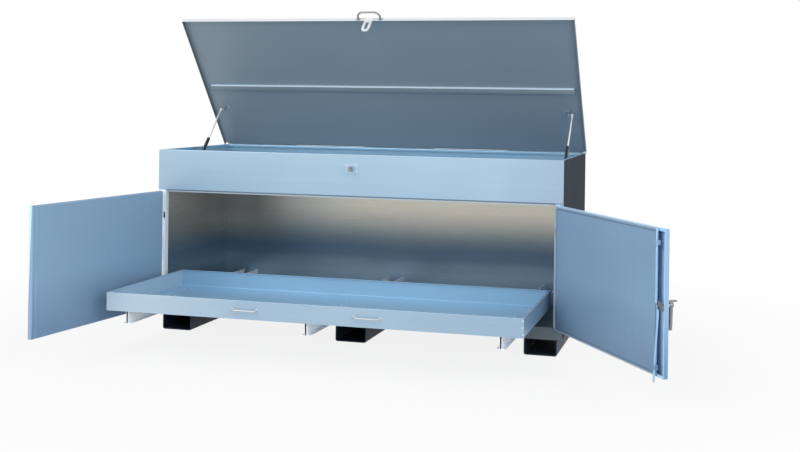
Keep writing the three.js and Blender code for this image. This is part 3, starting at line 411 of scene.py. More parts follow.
def inside_finish(name, colour, well):
    """Bare brushed sheet in the compartment, in soft level bands of painted reflection, under the coated
    sheet of the top well.

    The left end has painted shade: its wall is greyer in the compartment and warmer in the well.
    """
    finish = Finish(name)
    brushed = finish.noise(1.0, stretch=(2.0, 2.0, 420.0), detail=3.0, rough=0.65)
    cloud = finish.noise(1.7, detail=3.0)
    height = finish.axis("Z")
    # Painted reflection: level bands of light and dark, warm above and dark blue lower down.
    painted_reflection_bands = [
        (0.27, (0.36, 0.54, 0.70)), (0.325, (0.26, 0.41, 0.55)), (0.365, (0.16, 0.28, 0.41)),
        (0.42, (0.14, 0.24, 0.35)), (0.48, (0.25, 0.32, 0.37)), (0.53, (0.39, 0.42, 0.41)),
        (0.57, (0.53, 0.53, 0.47)), (0.62, (0.70, 0.64, 0.55)), (0.68, (0.86, 0.78, 0.64)),
        (0.76, (0.92, 0.87, 0.72)),
    ]
    bands = finish.ramp(height + (cloud - 0.5) * 0.05, painted_reflection_bands)
    # Painted shade towards the left end, and on the left wall low down.
    left_wall = finish.clamped((-1.2155 - finish.axis("X")) * 9000.0)
    shade = finish.clamped(-3.6 - finish.axis("X") * 4.6) * finish.clamped((height - 0.42) * 4.5)
    bands = finish.blend(shade * 0.85, bands, (0.24, 0.27, 0.28))
    low_left_wall_shade = left_wall * finish.clamped((0.46 - height) * 6.0)
    bands = finish.blend(low_left_wall_shade * 0.8, bands, (0.20, 0.29, 0.33))
    base = finish.blend(finish.clamped(brushed * 0.25), bands, colour)
    # Painted shade: the well's left wall is warmer.
    coated = finish.blend(left_wall, well, (well[0] * 1.25, well[1] * 0.92, well[2] * 0.70))
    base = finish.blend(finish.clamped((height - WELL_LEVEL) * 900.0), base, coated)
    rough = finish.clamped(0.30 + (brushed - 0.5) * 0.2)
    return finish.shade(base, 0.75, rough, finish.bump(brushed, 0.3, 0.0003))


def zinc_finish(name, colour, metallic=0.55):
    """Bright zinc plating: fine spangle, faint bloom and rubbed high spots."""
    finish = Finish(name)
    cells = finish.node("ShaderNodeTexVoronoi", {"Vector": finish.place(), "Scale": 260.0})
    bloom = finish.noise(30.0, detail=5.0)
    base = finish.blend(0.04, colour, cells.outputs["Color"], "SOFT_LIGHT")
    base = finish.blend(finish.clamped((bloom - 0.5) * 1.6), base, toned(colour, 0.72))
    rough = finish.clamped(0.24 + bloom * 0.16)
    return finish.shade(base, metallic, rough, finish.bump(bloom, 0.12, 0.0003))


def skid_finish(name, colour):
    """Black paint over mill scale: orange peel, dusty tops and scraped corners."""
    finish = Finish(name)
    peel = finish.noise(180.0, detail=2.0)
    scrape = finish.noise(9.0, stretch=(1.0, 0.25, 3.0), detail=8.0, rough=0.7)
    scrapes = finish.clamped((scrape - 0.56) * 8.0)
    dust = finish.noise(4.0, detail=6.0)
    base = finish.blend(dust * 0.35, colour, toned(colour, 2.0))
    base = finish.blend(scrapes * 0.3, base, (0.05, 0.055, 0.06))
    rough = finish.clamped(0.40 + dust * 0.3 + scrapes * 0.15)
    return finish.shade(base, 0.0, rough, finish.bump(peel, 0.2, 0.0004), {"Specular IOR Level": 0.2})


def turned_finish(name, colour):
    """Turned steel: fine rings across the axle line and a film of oil."""
    finish = Finish(name)
    rings = finish.noise(1.0, stretch=(900.0, 20.0, 20.0), detail=2.0)
    film = finish.noise(24.0, detail=4.0)
    base = finish.blend(finish.clamped(rings), toned(colour, 0.7), colour)
    rough = finish.clamped(0.22 + film * 0.2)
    return finish.shade(base, 0.9, rough, finish.bump(rings, 0.2, 0.0003))


def tube_finish(name, colour):
    """Gloss black paint of a gas strut's tube, with fine dust."""
    finish = Finish(name)
    dust = finish.noise(60.0, detail=6.0)
    base = finish.blend(finish.clamped((dust - 0.5) * 1.5), colour, toned(colour, 3.5))
    return finish.shade(base, 0.0, finish.clamped(0.2 + dust * 0.25), more={"Coat Weight": 0.3})


def finish_table():
    """Every finish under its maker: its colour and the maker's other settings, in the maker's order."""
    box = bpy.context.scene.box_finish
    # Painted shade: the door sheets darken towards the bottom.
    door_painted_shade = (("Z", 0.47, 0.20, (0.60, 0.67, 0.74)),)
    # Painted shade on the lid: darker to the right and lower down, with a painted shadow line just under its
    # front flange's bend.
    bend = float(on_lid(LID_BEND)[2])
    lid_painted_shade = (
        ("X", 0.0, 1.1, (0.82, 0.84, 0.87)),
        ("Z", 1.55, 1.10, (0.90, 0.93, 0.96)),
        ("Z", bend - 0.016, bend - 0.006, (0.50, 0.55, 0.58)),
    )
    # Painted light on the drawer: lighter towards its left end, darker towards its right end.
    drawer_painted_light = (("X", -0.35, -1.10, (1.48, 1.34, 1.21)), ("X", 0.3, 1.1, (0.88, 0.91, 0.93)))
    # Painted shadow: a dark line along the top of the header lip, under the fascia.
    lip_painted_shadow = (("Z", 0.8345, 0.8370, (0.30, 0.36, 0.42)),)
    return {
        sheet_finish: {
            # Painted shade: the body sheet darkens towards its right end.
            "body_sheet": (box.body, 0.35, 0.36, (("X", 0.85, 1.20, (0.90, 0.88, 0.91)),)),
            # Painted shade: the end panels' outside, near black.
            "side_sheet": (box.side, 0.0, 0.7, (), LEVEL_GRAIN, 0.12, 0.1),
            # Painted shade: the compartment floor and the front sill are a darkened copy of the lid sheet.
            "floor_sheet": (toned(box.lid, 0.42), 0.2, 0.5),
            # Painted highlight: the left post is a brightened copy of the zinc.
            "post_sheet": (toned(box.zinc, 1.2), 0.1, 0.4),
            # Painted highlight: the header lip is a brightened copy of the zinc, with the painted shadow
            # line at its top.
            "header_lip": (toned(box.zinc, 1.1), 0.1, 0.4, lip_painted_shadow),
            "staple_coat": (toned(box.body, 1.12), 0.45, 0.32),
            "lid_sheet": (box.lid, 0.25, 0.52, lid_painted_shade, LEVEL_GRAIN, 0.07),
            # Painted highlight on the lid's front flange and painted shade on its side flanges.
            "lid_flange": (toned(box.zinc, 0.85), 0.1, 0.5),
            "lid_return": (toned(box.lid, 0.42), 0.1, 0.6),
            # Painted light on the stiffener: a painted shade on its sheet and a painted highlight on its
            # crest.
            "stiffener_sheet": (toned(box.lid, 0.85), 0.2, 0.55),
            "stiffener_crest": (toned(box.lid, 1.85), 0.1, 0.4),
            "door_sheet": (box.door, 0.15, 0.45, door_painted_shade, UPRIGHT_GRAIN),
            "door_liner": (box.door, 0.12, 0.45, door_painted_shade, UPRIGHT_GRAIN),
            # Painted light: a brightened copy of the door sheet for the right door's channel, which lies in
            # shade.
            "door_channel": (toned(box.door, 1.75), 0.1, 0.45, (), UPRIGHT_GRAIN),
            "door_shade": (toned(box.door, 0.42), 0.1, 0.5),
            "drawer_sheet": (box.drawer, 0.45, 0.36, drawer_painted_light, FINE_LEVEL_GRAIN),
            "drawer_floor": (box.drawer_inside, 0.45, 0.34),
            # Painted shade: a darkened copy of the drawer's inside for its back wall.
            "drawer_back": (toned(box.drawer_inside, 0.8), 0.45, 0.34),
        },
        # Rounded edges: partly rubbed wear, partly painted highlight.
        worn_edge_and_highlight_finish: {
            "body_edge": (box.body,),
            "lid_edge": (box.lid,),
            "door_edge": (toned(box.door, 1.15), 0.2),
            "drawer_edge": (box.drawer, 0.3),
            "skid_edge": (toned(box.skid, 2.2), 0.1),
        },
        inside_finish: {"inside_sheet": (box.inside, box.well)},
        # Painted highlight on the left door's free edge.
        hem_highlight_finish: {"door_hem": (box.door,)},
        zinc_finish: {
            "zinc": (box.zinc,),
            "bright_rod": (toned(box.zinc, 1.1),),
            "rod_coat": (toned(box.door, 1.45), 0.3),
            "latch_coat": (toned(box.zinc, 0.33),),
            "bow_coat": (toned(box.zinc, 0.42),),
            "pull_coat": (toned(box.zinc, 0.72),),
            # Painted light: zinc brightened past its own colour for rails and hinges that sit in shade.
            "rail_coat": (toned(box.zinc, 1.3), 0.05),
            "bracket_coat": (toned(box.lid, 1.1), 0.3),
            # Painted highlight: the bright bead round the right door's liner.
            "hem_coat": (toned(box.zinc, 0.85), 0.2),
            "hinge_coat": (toned(box.body, 0.75), 0.2),
        },
        # Painted shade for the faces in the rail webs' gap and their spacers, beside the struts' own black
        # paint.
        tube_finish: {"rail_gap": (toned(box.skid, 0.5),), "strut_paint": (box.tube,)},
        skid_finish: {"skid_paint": (box.skid,)},
        turned_finish: {"turned_steel": (box.steel,)},
    }


_finishes = {}


def finish_named(name):
    """The finish of that name, made once."""
    if name not in _finishes:
        for maker, rows in finish_table().items():
            if name in rows:
                _finishes[name] = maker(name, *rows[name])
    return _finishes[name]


# Mesh helpers

CREASE = math.radians(35.0)
JOINED = 2e-5
FLAT_ENOUGH = math.radians(0.6)
CORNER = math.radians(50.0)
ORIGIN = (0.0, 0.0, 0.0)
FITTINGS = "zinc_fittings"


def added(name, data):
    """A new object in the scene."""
    thing = bpy.data.objects.new(name, data)
    bpy.context.scene.collection.objects.link(thing)
    return thing


def settled(name, mesh, finishes, body):
    """A new object made of the mesh, shaded and on its body."""
    thing = added(name, mesh)
    for finish in finishes:
        mesh.materials.append(finish_named(finish))
    mesh.polygons.foreach_set("use_smooth", np.full(len(mesh.polygons), True))
    mesh.set_sharp_from_angle(angle=CREASE)
    mesh.update()
    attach(thing, body)
    return thing


def piece(name, shape, finish, body):
    """A new closed object from (vertices, faces) in the row frame, facing outwards, on a CAD body."""
    vertices, faces = shape
    mesh = bpy.data.meshes.new(name)
    mesh.from_pydata(vertices.tolist(), [], faces)
    thing = settled(name, mesh, [finish], body)
    work = bmesh.new()
    work.from_mesh(mesh)
    bmesh.ops.recalc_face_normals(work, faces=work.faces)
    work.to_mesh(mesh)
    work.free()
    return thing


def dressed(node, finishes, slot=FITTINGS, edge=None, sort=None):
    """A copy of a CAD node with its corners joined and its edges rounded, standing for that node.

    The sort function takes the faces' centres and normals and gives each face's place in the finishes.
    The rounded edges take the second finish, where there is one.
    """
    if edge is None:
        sizes = bpy.context.scene.box_sizes
        edge = sizes.fitting_edge if slot == FITTINGS else sizes.sheet_edge
    cad = frame["nodes"][node]
    work = bmesh.new()
    work.from_mesh(cad.data)
    bmesh.ops.remove_doubles(work, verts=work.verts, dist=JOINED)
    bmesh.ops.dissolve_limit(work, angle_limit=FLAT_ENOUGH, verts=work.verts, edges=work.edges)
    mesh = bpy.data.meshes.new(f"{node}_finish")
    work.to_mesh(mesh)
    work.free()
    thing = settled(f"{node}_finish", mesh, finishes, cad["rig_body"])
    if sort is not None:
        count = len(mesh.polygons)
        centres, normals = np.empty(count * 3), np.empty(count * 3)
        mesh.polygons.foreach_get("center", centres)
        mesh.polygons.foreach_get("normal", normals)
        chosen = sort(centres.reshape(-1, 3), normals.reshape(-1, 3))
        mesh.polygons.foreach_set("material_index", chosen.astype(np.int32))
    bevel = thing.modifiers.new("rounded", "BEVEL")
    bevel.width, bevel.segments = edge, 2
    bevel.limit_method = "ANGLE"
    bevel.angle_limit = CORNER
    bevel.harden_normals = True
    bevel.use_clamp_overlap = True
    if len(finishes) > 1:
        bevel.material = 1
    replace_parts(thing, node)


def skin(index):
    """Faces of a grid of vertex numbers whose rows close round on themselves, as an array of quads."""
    ahead = np.roll(index, -1, axis=1)
    return np.stack([index[:-1], ahead[:-1], ahead[1:], index[1:]], axis=-1).reshape(-1, 4)


def revolved(profile, start, direction, sides):
    """Surface of revolution: start + direction * h(v) + r(v) * (cos u * side + sin u * other)."""
    profile = np.asarray(profile, float)
    direction = np.asarray(direction, float) / np.linalg.norm(direction)
    side = np.cross(direction, UP if abs(direction[2]) < 0.9 else SIDEWAYS)
    side /= np.linalg.norm(side)
    other = np.cross(direction, side)
    turn = np.linspace(0.0, 2.0 * np.pi, sides, endpoint=False)
    ring = np.cos(turn)[:, None] * side + np.sin(turn)[:, None] * other
    rise, reach = profile[:, 0][:, None, None], profile[:, 1][:, None, None]
    points = start + rise * direction + reach * ring
    index = np.arange(len(profile) * sides).reshape(len(profile), sides)
    faces = skin(index)[:, ::-1].tolist()
    return points.reshape(-1, 3), faces + [index[0].tolist(), index[-1][::-1].tolist()]


def tube_wall(profile, start, direction, sides):
    """A revolved ring: the profile runs from one bore edge to the other and a bore wall closes it."""
    points, faces = revolved(profile, start, direction, sides)
    index = np.arange(len(profile) * sides).reshape(len(profile), sides)
    bore = skin(index[[-1, 0]])
    return points, faces[:-2] + bore.tolist()


def carried(path, radius, sides):
    """Round bar: path(v) + radius * (cos u * n(v) + sin u * b(v)), n and b carried along the path."""
    tangent = np.gradient(path, axis=0)
    tangent /= np.linalg.norm(tangent, axis=1)[:, None]
    flat = np.cross(path[-1] - path[0], path[len(path) // 2] - path[0])
    if np.linalg.norm(flat) < 1e-9:
        flat = np.cross(tangent[0], (0.3, 0.5, 0.8))
    across = flat / np.linalg.norm(flat)
    up = np.cross(tangent, across)
    up /= np.linalg.norm(up, axis=1)[:, None]
    turn = np.linspace(0.0, 2.0 * np.pi, sides, endpoint=False)[:, None]
    reach = np.broadcast_to(np.asarray(radius, float), (len(path),))[:, None, None]
    points = path[:, None, :] + reach * (np.cos(turn) * across + np.sin(turn) * up[:, None, :])
    index = np.arange(len(path) * sides).reshape(len(path), sides)
    faces = skin(index).tolist()
    return points.reshape(-1, 3), faces + [index[0][::-1].tolist(), index[-1].tolist()]


def gathered(parts):
    """Several (vertices, faces) pairs as one."""
    points, faces, start = [], [], 0
    for vertices, own in parts:
        points.append(vertices)
        faces += [[corner + start for corner in face] for face in own]
        start += len(vertices)
    return np.concatenate(points), faces


def repeated(shape, places):
    """The shape set down at every place."""
    vertices, faces = shape
    return gathered([(vertices + place, faces) for place in np.reshape(places, (-1, 3))])


def screws(name, centres, direction, body, radius=None):
    """Pan heads with a stepped round recess, all facing one way: one set down at every centre."""
    radius = radius or bpy.context.scene.box_sizes.screw_head
    steps = ((0.0, 1.0), (0.35, 1.0), (0.55, 0.85), (0.62, 0.55), (0.60, 0.48), (0.25, 0.44))
    profile = [(rise * radius, out * radius) for rise, out in steps]
    piece(name, repeated(revolved(profile, ORIGIN, direction, 24), centres), "zinc", body)


def rivets(name, centres, direction, body, radius, height, finish="zinc", slot=FITTINGS, sides=18):
    """Low round heads, all facing one way: a revolved quarter arc set down at every centre."""
    turn = np.linspace(0.0, np.pi / 2, 5)[1:]
    profile = [(0.0, radius)] + [(height * np.sin(t), radius * np.cos(t) + 1e-6) for t in turn]
    piece(name, repeated(revolved(profile, ORIGIN, direction, sides), centres), finish, body)


def spot_welds(name, centres, direction, body, finish, slot):
    """Spot welds, all facing one way: one low head at every centre."""
    radius = bpy.context.scene.box_sizes.spot_weld
    rivets(name, centres, direction, body, radius, radius * 0.3, finish, slot, 14)


def weld_bead(start, end, radius, pitch=0.006):
    """Rippled straight bead: its radius is r * (0.84 + 0.16 * |sin|), tapered at its ends."""
    run = np.linalg.norm(end - start)
    share = np.linspace(0.0, 1.0, max(int(run / pitch * 4), 8))
    path = start + share[:, None] * (end - start)
    ripple = 0.84 + 0.16 * np.abs(np.sin(np.pi * share * run / pitch))
    taper = np.clip(np.minimum(share, 1.0 - share) * run / radius, 0.25, 1.0)
    return carried(path, radius * ripple * taper, 8)


def handle_parts(width, reach, radius, foot, foot_height):
    """A bow handle in its own flat frame: first coordinate along it, second out of the sheet.

    Its bar is carried along two legs, two quarter bends and a straight run, with a washer at each foot.
    """
    half = width / 2 - radius
    bend = min(reach * 0.62, half * 0.5)
    turn = np.linspace(0.0, np.pi / 2, 12)
    top = reach - radius
    leg = np.array([(-half, 0.0), (-half, (top - bend) * 0.5)])
    arc = np.stack([-half + bend * (1 - np.cos(turn)), top - bend + bend * np.sin(turn)], axis=1)
    left = np.concatenate([leg, arc])
    right = left[::-1] * np.array((-1.0, 1.0))
    line = np.concatenate([left, [(0.0, top)], right])
    path = np.pad(line, ((0, 0), (0, 1)))
    washer = [(0.0, foot), (foot_height * 0.6, foot), (foot_height, foot * 0.86)]
    washer += [(foot_height, radius * 1.25), (foot_height * 1.9, radius * 1.02)]
    feet = [revolved(washer, (side * half, 0.0, 0.0), BACKWARD, 28) for side in (-1, 1)]
    return gathered([carried(path, radius, 16), *feet])


def wheel_profile(width, radius, bore, shares, recess, corner):
    """Section of a wheel from bore to bore: a hub ring, a recessed web and a rim on both faces."""
    hub, web, rim, edge = (radius * share for share in shares)
    face = [(0.0, bore), (0.0, hub), (recess, web), (recess, rim), (0.0, edge), (corner, radius)]
    return face + [(width - along, out) for along, out in face[::-1]]


def socket_end(start, radius):
    """Round ball socket seen end on: a revolved drum with rounded shoulders."""
    rising = [(0.0, 0.5), (0.0, 0.78), (0.14, 0.95), (0.3, 1.0)]
    shares = rising + [(1.0 - along, out) for along, out in rising[::-1]]
    profile = [(STRUT_EYE_WIDTH * along, radius * out) for along, out in shares]
    return revolved(profile, start, SIDEWAYS, 32)


def rounded_outline(turn, half_width, top, bottom, top_power, bottom_power):
    """Superellipse: |x / a| ** n + |z / b| ** n = 1, its power n set for the upper and the lower half."""
    power = np.where(np.sin(turn) >= 0.0, top_power, bottom_power)
    x = half_width * np.sign(np.cos(turn)) * np.abs(np.cos(turn)) ** (2.0 / power)
    z = np.sign(np.sin(turn)) * np.abs(np.sin(turn)) ** (2.0 / power)
    middle, reach = (top + bottom) / 2.0, (top - bottom) / 2.0
    return np.stack([x, middle + reach * z], axis=1)


def pierced_plate(outer, hole, thickness):
    """Flat plate between two outlines, front face at zero.

    Its rows run hole front, edge front, edge back, hole back.
    """
    rows = [(outer, 0.0), (outer, -thickness)]
    if hole is not None:
        rows = [(hole, 0.0), *rows, (hole, -thickness)]
    count = len(outer)
    sheets = [np.stack([line[:, 0], np.full(count, y), line[:, 1]], axis=1) for line, y in rows]
    points = np.concatenate(sheets)
    index = np.arange(len(rows) * count).reshape(len(rows), count)
    if hole is None:
        return points, skin(index).tolist() + [index[0][::-1].tolist(), index[1].tolist()]
    return points, skin(np.concatenate([index, index[:1]])).tolist()


class BOX_OT_body(Operator):
    """Finishes the fixed sheets of the box and adds their spot welds"""

    bl_idname = "storage_box.body"
    bl_label = "Body Sheets"

    def execute(self, context):
        # The end panels' outer faces take painted shade.
        for hand, side in SIDES.items():
            dressed(
                f"{hand}_side_panel",
                ["inside_sheet", "body_edge", "side_sheet"],
                "body_sheet",
                sort=lambda centres, normals, side=side: np.where(normals[:, 0] * side > 0.5, 2, 0),
            )
        dressed(
            "back_panel",
            ["inside_sheet", "body_edge", "body_sheet"],
            "body_sheet",
            sort=lambda centres, normals: np.where(normals[:, 1] < -0.5, 0, 2),
        )
        # The well floor's header lip takes a painted highlight, with a painted shadow line at its top.
        dressed(
            "well_floor",
            ["body_sheet", "body_edge", "header_lip"],
            "body_sheet",
            sort=lambda centres, normals: np.where(
                (normals[:, 1] < -0.5) & (centres[:, 2] < LIP_TOP), 2, 0
            ),
        )
        # The left post takes a painted highlight.
        plain = {"front_fascia": "body", "right_post": "body", "left_post": "post"}
        # The floor panel and the front sill take painted shade.
        for node, finish in {**plain, "floor_panel": "floor", "front_sill": "floor"}.items():
            dressed(node, [f"{finish}_sheet", "body_edge"], "body_sheet")
        seam = [(x, FRONT + SEAM, RIM) for x in np.linspace(-1.12, 1.12, 15)]
        spot_welds("rim_spot_welds", seam, UP, "body", "body_edge", "body_sheet")
        for hand, side in SIDES.items():
            seam = [(side * (HALF_WIDTH - SEAM), FRONT, z) for z in (0.22, 0.36, 0.50, 0.60, 0.76)]
            spot_welds(f"{hand}_post_spot_welds", seam, FORWARD, "body", "body_edge", "body_sheet")
        return {"FINISHED"}


class BOX_OT_skids(Operator):
    """Finishes the three lifting skids and adds the weld beads that hold them"""

    bl_idname = "storage_box.skids"
    bl_label = "Skids"

    def execute(self, context):
        sizes = context.scene.box_sizes
        beads = []
        for hand, middle in SKID_MIDDLES.items():
            dressed(f"{hand}_skid", ["skid_paint", "skid_edge"], "skid_paint", sizes.skid_edge)
            for offset in (-BEAD_OFFSET, BEAD_OFFSET):
                for start in (-0.46, -0.16, 0.16, 0.34):
                    low = np.array((middle + offset, start, BEAD_HEIGHT))
                    beads.append(weld_bead(low, low + (0.0, BEAD_LENGTH, 0.0), sizes.weld_bead))
        piece("skid_weld_beads", gathered(beads), "skid_paint", "body")
        return {"FINISHED"}


class BOX_OT_hinges(Operator):
    """Finishes the long hinges and adds the lid hinge's rivets and pin ends"""

    bl_idname = "storage_box.hinges"
    bl_label = "Hinges"

    def execute(self, context):
        # The door hinges take painted light.
        for part, finish in (("left_door", "rail_coat"), ("right_door", "rail_coat"), ("lid", "hinge_coat")):
            for leaf in ("fixed", "moving"):
                dressed(f"{part}_hinge_{leaf}_leaf", [finish])
        along = np.linspace(-1.15, 1.15, 16)
        low = [(x, BACK + 0.0025, 1.055) for x in along]
        rivets("lid_hinge_fixed_rivets", low, BACKWARD, "body", *HINGE_RIVET)
        pin_end = [(0.0, 0.0084), (0.0006, 0.0090), (0.0166, 0.0090), (0.0172, 0.0084)]
        ends = [revolved(pin_end, (x, *LID_LINE[1:]), SIDEWAYS, 24) for x in (-1.2165, 1.1993)]
        piece("lid_hinge_pin_ends", gathered(ends), "hinge_coat", "body")
        high = on_lid([(x, -0.030, -0.0045) for x in along])
        rivets("lid_hinge_moving_rivets", high, lid_way(UP), "lid", *HINGE_RIVET)
        return {"FINISHED"}


class BOX_OT_staple(Operator):
    """Finishes the padlock staple and adds its rivets"""

    bl_idname = "storage_box.staple"
    bl_label = "Padlock Staple"

    def execute(self, context):
        dressed(
            "padlock_staple",
            ["staple_coat", "zinc", "latch_coat"],
            sort=lambda centres, normals: np.where(centres[:, 1] < FRONT - 0.006, 2, 0),
        )
        heights = (STAPLE_HEIGHT - 0.018, STAPLE_HEIGHT + 0.018)
        places = [(x, FRONT - 0.0033, z) for x in (-0.029, 0.029) for z in heights]
        # The rivets take a painted highlight, the finish of the stiffener's crest.
        rivets("staple_rivets", places, FORWARD, "body", 0.0052, 0.0026, "stiffener_crest", sides=20)
        return {"FINISHED"}


class BOX_OT_drawer(Operator):
    """Finishes the roll-out drawer, its moving rails and the fixed rails, and makes its bow handles"""

    bl_idname = "storage_box.drawer"
    bl_label = "Roll-out Drawer"

    def execute(self, context):
        # The back wall of the drawer takes painted shade.
        def by_wall(centres, normals):
            floor = (normals[:, 2] > 0.5) & (centres[:, 2] < 0.30)
            back = (normals[:, 1] < -0.5) & (centres[:, 1] > -1.0)
            return np.where(floor, 2, np.where(back, 3, 0))

        finishes = ["drawer_sheet", "drawer_edge", "drawer_floor", "drawer_back"]
        dressed("drawer_tray", finishes, "drawer_sheet", sort=by_wall)
        for rail, middle in RAIL_LINES.items():

            # Painted shade on the webs' faces beside the gap between them.
            def by_web(centres, normals, middle=middle):
                near = np.abs(centres[:, 0] - middle) < 0.0045
                return np.where(near & (np.abs(normals[:, 0]) > 0.9), 2, 0)

            # The moving and fixed rails take painted light.
            dressed(f"{rail}_moving_rail", ["rail_coat", "rail_coat", "rail_gap"], sort=by_web)
            # The spacers sit in the gap and take its painted shade.
            spacer = revolved([(0.0, 0.0034), (0.0072, 0.0034)], (middle - 0.0036, 0.0, 0.0), SIDEWAYS, 20)
            places = [(0.0, y, z) for y in (-1.236, -1.16) for z in (0.192, 0.222)]
            piece(f"{rail}_rail_spacers", repeated(spacer, places), "rail_gap", "drawer")
            dressed(f"{rail}_fixed_rail", ["rail_coat"])
        for hand, side in SIDES.items():
            vertices, faces = handle_parts(0.145, 0.030, 0.004, 0.009, 0.002)
            middle = np.array((side * PULL_APART, DRAWER_FRONT - 0.0003, PULL_HEIGHT))
            shape = (vertices * np.array((1.0, -1.0, 1.0)) + middle, faces)
            pull = piece(f"{hand}_drawer_bow", shape, "pull_coat", "drawer")
            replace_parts(pull, f"{hand}_drawer_handle")
        corners = (0.006 - DRAWER_HALF_WIDTH, DRAWER_HALF_WIDTH - 0.006)
        seams = [(x, DRAWER_FRONT - 0.0001, z) for x in corners for z in (0.262, 0.295, 0.328)]
        spot_welds("drawer_corner_spot_welds", seams, FORWARD, "drawer", "drawer_edge", "drawer_sheet")
        bolts = [
            (middle + aside, y, DRAWER_FLOOR)
            for middle in RAIL_LINES.values()
            for y in (-1.17, -0.95, -0.72, -0.50)
            for aside in (-0.022, 0.022)
        ]
        screws("drawer_floor_bolts", bolts, UP, "drawer")
        return {"FINISHED"}


class BOX_OT_rollers(Operator):
    """Turned rollers with their hubs and rims"""

    bl_idname = "storage_box.rollers"
    bl_label = "Rollers"

    def seat(self, node):
        """Where a node's axle starts, how wide the node is and its radius."""
        low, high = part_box(node)
        middle = (low + high) / 2
        return np.array((low.x, middle.y, middle.z)), high.x - low.x, (high.z - low.z) / 2

    def turned(self, node, shape):
        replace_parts(piece(f"{node}_turned", shape, "turned_steel", node), node)

    def execute(self, context):
        for rail in RAIL_LINES:
            for hand in SIDES:
                node = f"{rail}_rail_front_{hand}_roller"
                start, width, radius = self.seat(node)
                shares = (0.42, 0.46, 0.88, 0.92)
                profile = wheel_profile(width, radius, ROLLER_BORE, shares, 0.0016, 0.0008)
                self.turned(node, tube_wall(profile, start, SIDEWAYS, 48))
            node = f"{rail}_rail_rear_rollers"
            start, width, radius = self.seat(node)
            axle = [(0.0, 0.0045), (0.0015, 0.006), (width - 0.0015, 0.006), (width, 0.0045)]
            shares = (0.34, 0.38, 0.86, 0.9)
            disc = wheel_profile(REAR_ROLLER_WIDTH, radius, radius * 0.3, shares, 0.0012, 0.001)
            far = start + np.array((width - REAR_ROLLER_WIDTH, 0.0, 0.0))
            discs = [revolved(disc, place, SIDEWAYS, 48) for place in (start, far)]
            self.turned(node, gathered([revolved(axle, start, SIDEWAYS, 24), *discs]))
        return {"FINISHED"}


class BOX_OT_doors(Operator):
    """Finishes both doors: shell, liner, the spot welds round the liner and the right liner's beads, a
    painted highlight line and a painted shadow line
    """

    bl_idname = "storage_box.doors"
    bl_label = "Doors"

    def execute(self, context):
        # Painted light on the shells: the left door's free edge takes a painted highlight and its top a
        # painted shade line; the right door's channel and top are painted lighter.
        shell_finishes = {
            "left": ["door_sheet", "door_sheet", "door_hem", "door_shade"],
            "right": ["door_sheet", "door_edge", "door_channel", "door_edge"],
        }
        painted_light_ways = {"left": SIDEWAYS, "right": BACKWARD}
        for hand, width in DOOR_WIDTHS.items():

            def by_edge(centres, normals, painted_light_way=door_way(hand, painted_light_ways[hand])):
                return np.where(normals[:, 2] > 0.9, 3, np.where(normals @ painted_light_way > 0.9, 2, 0))

            dressed(f"{hand}_door_shell", shell_finishes[hand], "door_sheet", sort=by_edge)
            dressed(f"{hand}_door_liner", ["door_liner", "door_edge"], "door_sheet")
            heights = np.linspace(0.195, 0.80, 8)
            seams = [(along, LINER_FACE, z) for along in (0.022, width - 0.010) for z in heights]
            across = np.linspace(0.12, width - 0.10, 9)
            seams += [(along, LINER_FACE, z) for z in (0.1685, 0.823) for along in across]
            name, body = f"{hand}_liner_spot_welds", f"{hand}_door"
            inward = door_way(hand, BACKWARD)
            spot_welds(name, on_door(hand, seams), inward, body, "door_liner", "door_sheet")
        # Painted highlight and painted shadow: a bright bead at the liner's edge and a dark bead inside it.
        for inset, radius, finish in ((0.0032, 0.0022, "hem_coat"), (0.0150, 0.0020, "door_shade")):
            near, far = 0.012 + inset, DOOR_WIDTHS["right"] - inset
            low, high = 0.158 + inset, 0.8337 - inset
            corners = [(near, low), (far, low), (far, high), (near, high), (near, low)]
            line = on_door("right", [(along, LINER_FACE + 0.0001, z) for along, z in corners])
            piece(f"right_liner_{finish}", carried(line, radius, 12), finish, "right_door")
        return {"FINISHED"}


class BOX_OT_latch(Operator):
    """Finishes the latch lever, cam and the two locking rods"""

    bl_idname = "storage_box.latch"
    bl_label = "Door Latch"

    def execute(self, context):
        for node in ("latch_handle", "latch_cam"):
            dressed(node, ["latch_coat"], edge=0.0012)
        for node in ("upper_latch_rod", "lower_latch_rod"):
            dressed(node, ["rod_coat"], edge=0.0008)
        turn = np.radians((45.0, 135.0, 225.0, 315.0))
        along, rise = 0.0165 * np.cos(turn), 0.0165 * np.sin(turn)
        ring = np.stack([LATCH_ALONG + along, np.full(4, -0.0151), LATCH_HEIGHT + rise], axis=1)
        screws("rosette_screws", on_door("right", ring), door_way("right", FORWARD), "right_door", 0.003)
        return {"FINISHED"}


